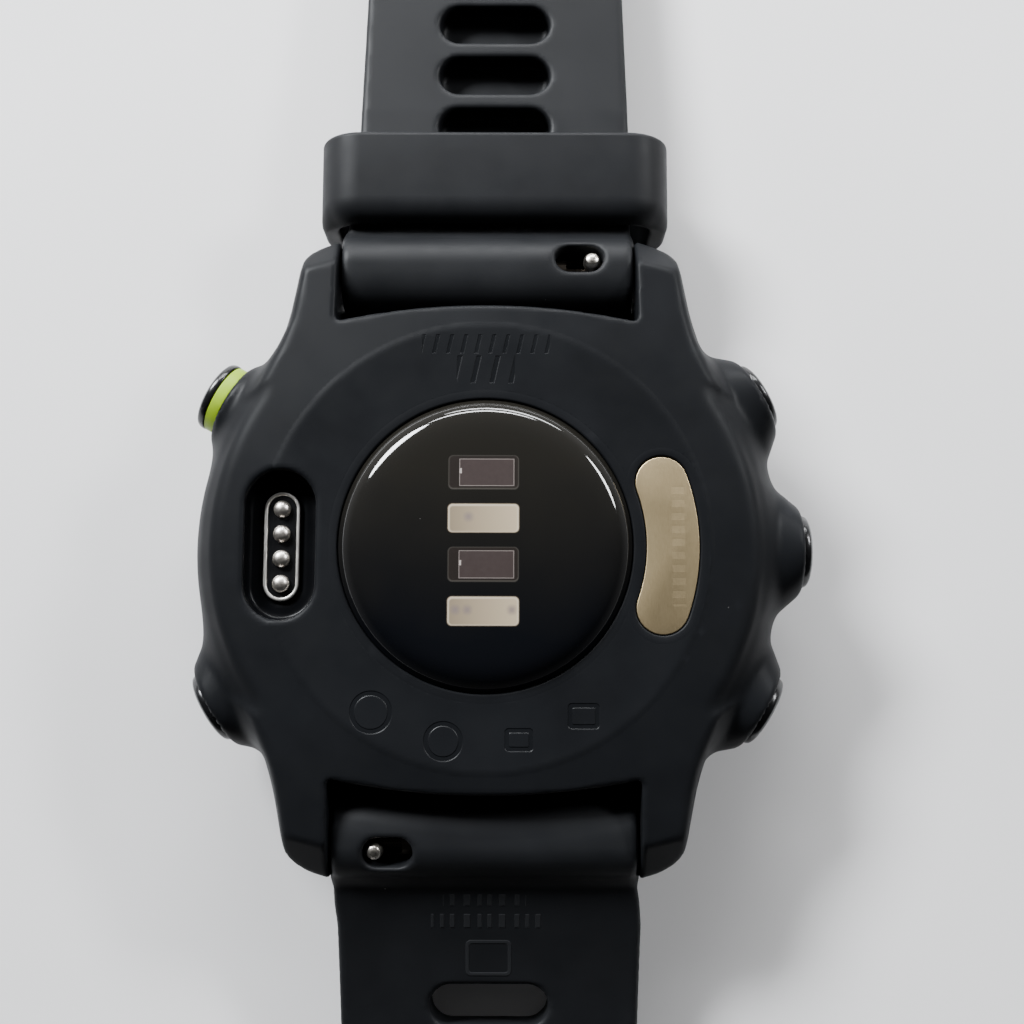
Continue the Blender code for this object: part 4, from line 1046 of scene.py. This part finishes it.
def slot_cuts(body, x, y, z, run, floor=None):
    """Cuts the row of slots: right through, or down to a floor under the wrist side."""
    number = np.clip(np.round((y - SLOT_FIRST) / SLOT_PITCH), 0, run["slots"] - 1)
    slot = stadium(off_centre(x, y, run), y - SLOT_FIRST - number * SLOT_PITCH, *SLOT_HALF)
    if floor:
        bottom = strap_middle(y, run) + strap_half_t(y) - floor
        slot = meet(slot, bottom - z, 0.5)
    return cut(body, slot, 0.3)


def lower_strap_distance(x, y, z):
    body = strap_root(x, y, z, LOWER)
    end = LOWER["tip"] - STRAP_MIN_HALF_W
    tip = np.hypot(off_centre(x, y, LOWER), np.maximum(y - end, 0)) - STRAP_MIN_HALF_W
    body = meet(body, np.where(y > end, tip, -9.0), 0.45)
    body = bar_cuts(body, x, y, z)
    return slot_cuts(body, x, y, z, LOWER)


def upper_strap_distance(x, y, z):
    body = strap_root(x, y, z, UPPER)
    body = np.maximum(body, y - BUCKLE_AT)
    around = np.hypot(y - BUCKLE_AT, z - UPPER["rest_z"])
    eye = meet(around - 1.8, np.abs(x) - STRAP_MIN_HALF_W, 0.35)
    body = join(body, eye, 0.6)
    body = cut(body, around - EYE_BORE_R, 0.12)
    body = cut(body, rounded_box(x, y - BUCKLE_AT, 3.8, 3.2, 0.4), 0.25)
    body = bar_cuts(body, x, y, z)
    return slot_cuts(body, x, y, z, UPPER, POCKET_DEPTH)


def strap_grid(run):
    """Finer where the strap meets the case."""
    ys = np.concatenate([spaced(-3.4, 27.8, 0.2), spaced(28.1, run["tip"] + 2.2, 0.32)])
    return spaced(-10.6, 10.6, 0.28), ys, spaced(run["rest_z"] - 2.4, 2.8, 0.22)


def make_strap(side, distance, run, direction, finishes):
    vertices, faces = skin(distance, *strap_grid(run))
    turn = np.array((1, 1, 1) if direction > 0 else (-1, -1, 1))
    at = np.array((0, direction * BAR_Y, BAR_Z))
    strap = piece(f"strap_{side}_rubber", vertices * turn + at, faces, finishes["strap"], sharp=60)
    stands_for(strap, f"strap_{side}", f"{side}_strap")
    make_release(side, direction, finishes)


def make_release(side, direction, finishes):
    """The sliding pin of a spring bar, with its knob."""
    low, high = box_mm(f"release_pin_{side}")
    knob_top = 2.15
    ends = sorted((abs(low.x), abs(high.x)))
    rod = [(0, ends[0]), (0.5, ends[0]), (0.5, 9.5), (0.4, 9.6), (0.4, ends[1]), (0, ends[1])]
    rod = turned(eased(rod, 0.05), 32)
    head = [(0, 0.2), (0.3, 0.2), (0.3, 1.05), (0.5, 1.1), (0.58, 1.25), (0.56, knob_top - 0.42),
            (0.42, knob_top - 0.12), (0.2, knob_top - 0.02), (0, knob_top)]
    knob = turned(eased(head, 0.06), 40)
    lean = Matrix.Translation((7.1, 0, 0)) @ Matrix.Rotation(-KNOB_LEAN, 4, "X")
    knob = (placed(knob[0], lean), knob[1])
    rod = (placed(rod[0], along_x()), rod[1])
    vertices, faces = merged(rod, knob)
    vertices = [(direction * x, direction * (y + BAR_Y), z + BAR_Z) for x, y, z in vertices]
    pin = piece(f"release_{side}_pin", vertices, faces, finishes["release"])
    stands_for(pin, f"release_pin_{side}", f"{side}_release")


def keeper_section(half_t, half_l, near_out, near_y):
    """One wall of a keeper, cut along the strap. near_ sizes round its outer edge on the case side."""
    corners = ((half_t, half_l, 0.35, 0.35), (-half_t, half_l, 0.3, 0.3), (-half_t, -half_l, 0.3, 0.3),
               (half_t, -half_l, near_out, near_y))
    points = []
    for number, (out, y, round_out, round_y) in enumerate(corners):
        for k in range(9):
            a = math.pi / 2 * (number + k / 8)
            points.append((out - math.copysign(round_out, out) + round_out * math.cos(a),
                           y - math.copysign(round_y, y) + round_y * math.sin(a)))
    return points


def make_keeper(node, body, finishes):
    low, high = box_mm(node)
    centre, half = (low + high) / 2, (high - low) / 2
    half.x += 0.12
    wall = 1.3
    outline = rounded_outline(half.x - wall / 2, half.z - wall / 2, 2.3, 14, (centre.x, centre.z))
    top = np.array(keeper_section(wall / 2, half.y, 1.1, 1.7 if body == "sliding_keeper" else 0.8))
    side = np.array(keeper_section(wall / 2, half.y, 0.35, 0.5))
    points, normals = outline_normals(outline)
    vertices = []
    for (x, z), (nx, nz) in zip(points, normals):
        share = min(1.0, max(0.0, 1.6 * nz))
        section = top * share + side * (1 - share)
        vertices += [(x + nx * out, centre.y + y, z + nz * out) for out, y in section]
    band = piece(f"{node}_band", vertices, grid_faces(len(points), len(top), True), finishes["keeper"])
    stands_for(band, node, body)


# ---------------------------------------------------------------- buckle


def make_buckle(finishes):
    low, high = box_mm("buckle_frame")
    arm = 2.05
    outer_x, end_y, back_y = high.x, high.y, low.y
    outline = [(outer_x - arm, back_y), (outer_x, back_y)]
    outline += arc(outer_x - 2.4, end_y - 2.4, 2.4, 0, 90)
    outline += arc(-outer_x + 2.4, end_y - 2.4, 2.4, 90, 180)
    outline += [(-outer_x, back_y), (-outer_x + arm, back_y)]
    outline += arc(-outer_x + arm + 1.0, end_y - 3.0, 1.0, 180, 90)
    outline += arc(outer_x - arm - 1.0, end_y - 3.0, 1.0, 90, 0)
    frame_piece = piece("buckle_loop", *slab(outline, low.z, high.z, 0.5), finishes["buckle"])
    stands_for(frame_piece, "buckle_frame", "buckle")
    make_tang(finishes)
    bar_low, bar_high = box_mm("buckle_bar")
    rod = [(0, bar_low.x), (0.75, bar_low.x), (0.75, bar_high.x), (0, bar_high.x)]
    vertices, faces = turned(eased(rod, 0.12), 32)
    bar = piece("buckle_rod", placed(vertices, along_x(0, (0, BUCKLE_Y, BUCKLE_Z))), faces, finishes["steel"])
    stands_for(bar, "buckle_bar", "buckle")


def arc(x, y, radius, start, end):
    """Nine points along an arc, its ends given in degrees."""
    points = []
    for k in range(9):
        a = math.radians(start + (end - start) * k / 8)
        points.append((x + radius * math.cos(a), y + radius * math.sin(a)))
    return points


def make_tang(finishes):
    """A wide flat tongue that starts as an eye round the buckle's bar."""
    low, high = box_mm("buckle_tang")
    half_w = high.x
    length = high.y - BUCKLE_Y
    top = -1.22
    under = low.z - BUCKLE_Z

    def distance(x, y, z):
        around = np.hypot(y, z)
        nose = np.hypot(x, np.maximum(y - length + 2.4, 0) * 1.3) - half_w
        sides = np.where(y > length - 2.4, nose, np.abs(x) - half_w)
        blade = meet(meet(z - top, under - z, 0.3), sides, 0.35)
        blade = np.maximum(np.maximum(blade, y - length), 0.3 - y)
        eye = meet(around - 1.55, np.abs(x) - half_w, 0.3)
        eye = np.maximum(eye, y + z * 0.4 - 1.3)
        return cut(join(eye, blade, 0.5), around - EYE_BORE_R, 0.1)

    xs = spaced(-half_w - 0.4, half_w + 0.4, 0.16)
    ys = spaced(-2.0, length + 0.4, 0.16)
    vertices, faces = skin(distance, xs, ys, spaced(under - 0.4, 2.0, 0.14))
    vertices = vertices + np.array((0, BUCKLE_Y, BUCKLE_Z))
    tang = piece("buckle_tongue", vertices, faces, finishes["buckle"], sharp=60)
    stands_for(tang, "buckle_tang", "tang")


# ---------------------------------------------------------------- pieces kept from the frame


KEPT = {
    "seal": ["lens_gasket"] + [f"{name}_seal" for name in BUTTONS],
    "display": ["display_panel"],
    "frame": ["inner_frame", "sensor_mask"] + [f"{name}_switch" for name in BUTTONS],
    "board": ["main_board", "sensor_board"],
    "battery": ["battery"],
    "steel": ["board_shield", "vibration_motor_can", "vibration_motor_weight", "gps_antenna", "beeper_disc"]
             + [f"{name}_stem" for name in BUTTONS],
    "painted_shade_steel": ["spring_bar_upper", "spring_bar_lower"],
    "emitter": ["emitter_upper", "emitter_lower"],
    "detector": ["detector_upper", "detector_lower"],
}


def dress_kept_nodes(finishes):
    for finish, nodes in KEPT.items():
        for node in nodes:
            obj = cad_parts[node]
            for index in range(len(obj.material_slots)):
                obj.material_slots[index].material = finishes[finish]


# ---------------------------------------------------------------- stage


def make_floor():
    mesh = bpy.data.meshes.new("table_top")
    size = 1.5
    z = TABLE_Z * MM - 0.00005
    corners = [(-size, -size, z), (size, -size, z), (size, size, z), (-size, size, z)]
    mesh.from_pydata(corners, [], [(0, 1, 2, 3)])
    made = Finish("pale_table")
    # painted light: the floor is painted brighter towards +Y, where the lamps stand, with faint random
    # clouding
    painted_light_tone = made.plus(made.remap(made.y, -8.0, 36.0, 0.755, 0.885), made.patchy(0.05, 3, -0.015, 0.015))
    shade = made.mix(painted_light_tone, (0.0, 0.0, 0.0), (1.0, 0.988, 0.991))
    material = made.wearing(shade, 0.7, made.bump(made.noise(3.0, 3), 0.01, 0.3))
    mesh.materials.append(material)
    floor = bpy.data.objects.new("table_top", mesh)
    bpy.context.scene.collection.objects.link(floor)


def area_light(name, place, size, power, colour):
    """A soft oval lamp, in metres and watts, that points at the origin."""
    light = bpy.data.lights.new(name, "AREA")
    light.shape = "ELLIPSE"
    light.size, light.size_y = size
    light.energy = power
    light.color = colour
    lamp = bpy.data.objects.new(name, light)
    lamp.location = place
    lamp.rotation_euler = (-Vector(place)).to_track_quat("-Z", "Y").to_euler()
    bpy.context.scene.collection.objects.link(lamp)


def make_light():
    """A dark room overhead, bright walls low down, and soft lamps round the top."""
    world = bpy.data.worlds.new("studio")
    bpy.context.scene.world = world
    world.use_nodes = True
    tree = world.node_tree
    background = tree.nodes["Background"]
    coordinates = tree.nodes.new("ShaderNodeTexCoord")
    split = tree.nodes.new("ShaderNodeSeparateXYZ")
    tree.links.new(coordinates.outputs["Generated"], split.inputs[0])

    def ramp(value, low, high, to_low, to_high):
        made = tree.nodes.new("ShaderNodeMapRange")
        numbers = {"From Min": low, "From Max": high, "To Min": to_low, "To Max": to_high}
        for key, number in numbers.items():
            made.inputs[key].default_value = number
        tree.links.new(value, made.inputs["Value"])
        return made.outputs[0]

    def combined(operation, a, b):
        made = tree.nodes.new("ShaderNodeMath")
        made.operation = operation
        tree.links.new(a, made.inputs[0])
        tree.links.new(b, made.inputs[1])
        return made.outputs[0]

    walls = ramp(split.outputs[2], 0.1, 0.5, 0.40, 0.045)
    front = ramp(split.outputs[1], -0.7, 0.3, 0.2, 1.0)
    behind = ramp(split.outputs[1], 0.05, 0.8, 0.0, 0.24)
    strength = combined("ADD", combined("MULTIPLY", walls, front), behind)
    tree.links.new(strength, background.inputs["Strength"])
    background.inputs["Color"].default_value = (0.98, 0.985, 1.0, 1)
    cool, neutral = (0.95, 0.975, 1.0), (0.97, 0.985, 1.0)
    area_light("window", (-0.30, 0.36, 0.30), (0.26, 0.12), 8.2, cool)
    area_light("top_strip", (0.05, 0.46, 0.15), (0.40, 0.04), 1.6, neutral)
    area_light("high_strip", (-0.02, 0.44, 0.24), (0.34, 0.03), 1.6, neutral)
    area_light("right_lamp", (0.38, 0.26, 0.28), (0.20, 0.06), 2.0, neutral)


def make_camera():
    """Straight over the back of the case, leaning a little from the buttonless end."""
    camera = bpy.data.cameras.new("camera")
    camera.lens = 46.7
    camera.sensor_width = 36
    camera.clip_start = 0.005
    lean = 0.1224
    obj = bpy.data.objects.new("camera", camera)
    obj.location = (0.001742, -0.008344, 0.095327)
    obj.rotation_euler = (lean, 0, 0.0027)
    bpy.context.scene.collection.objects.link(obj)
    bpy.context.scene.camera = obj


def main():
    finishes = make_finishes()
    make_case(finishes)
    make_front(finishes)
    make_back(finishes)
    for name in BUTTONS:
        make_button(name, finishes)
    make_strap("upper", upper_strap_distance, UPPER, 1, finishes)
    make_strap("lower", lower_strap_distance, LOWER, -1, finishes)
    make_keeper("keeper_sliding", "sliding_keeper", finishes)
    make_keeper("keeper_fixed", "upper_strap", finishes)
    make_buckle(finishes)
    dress_kept_nodes(finishes)
    make_floor()
    make_light()
    make_camera()


main()
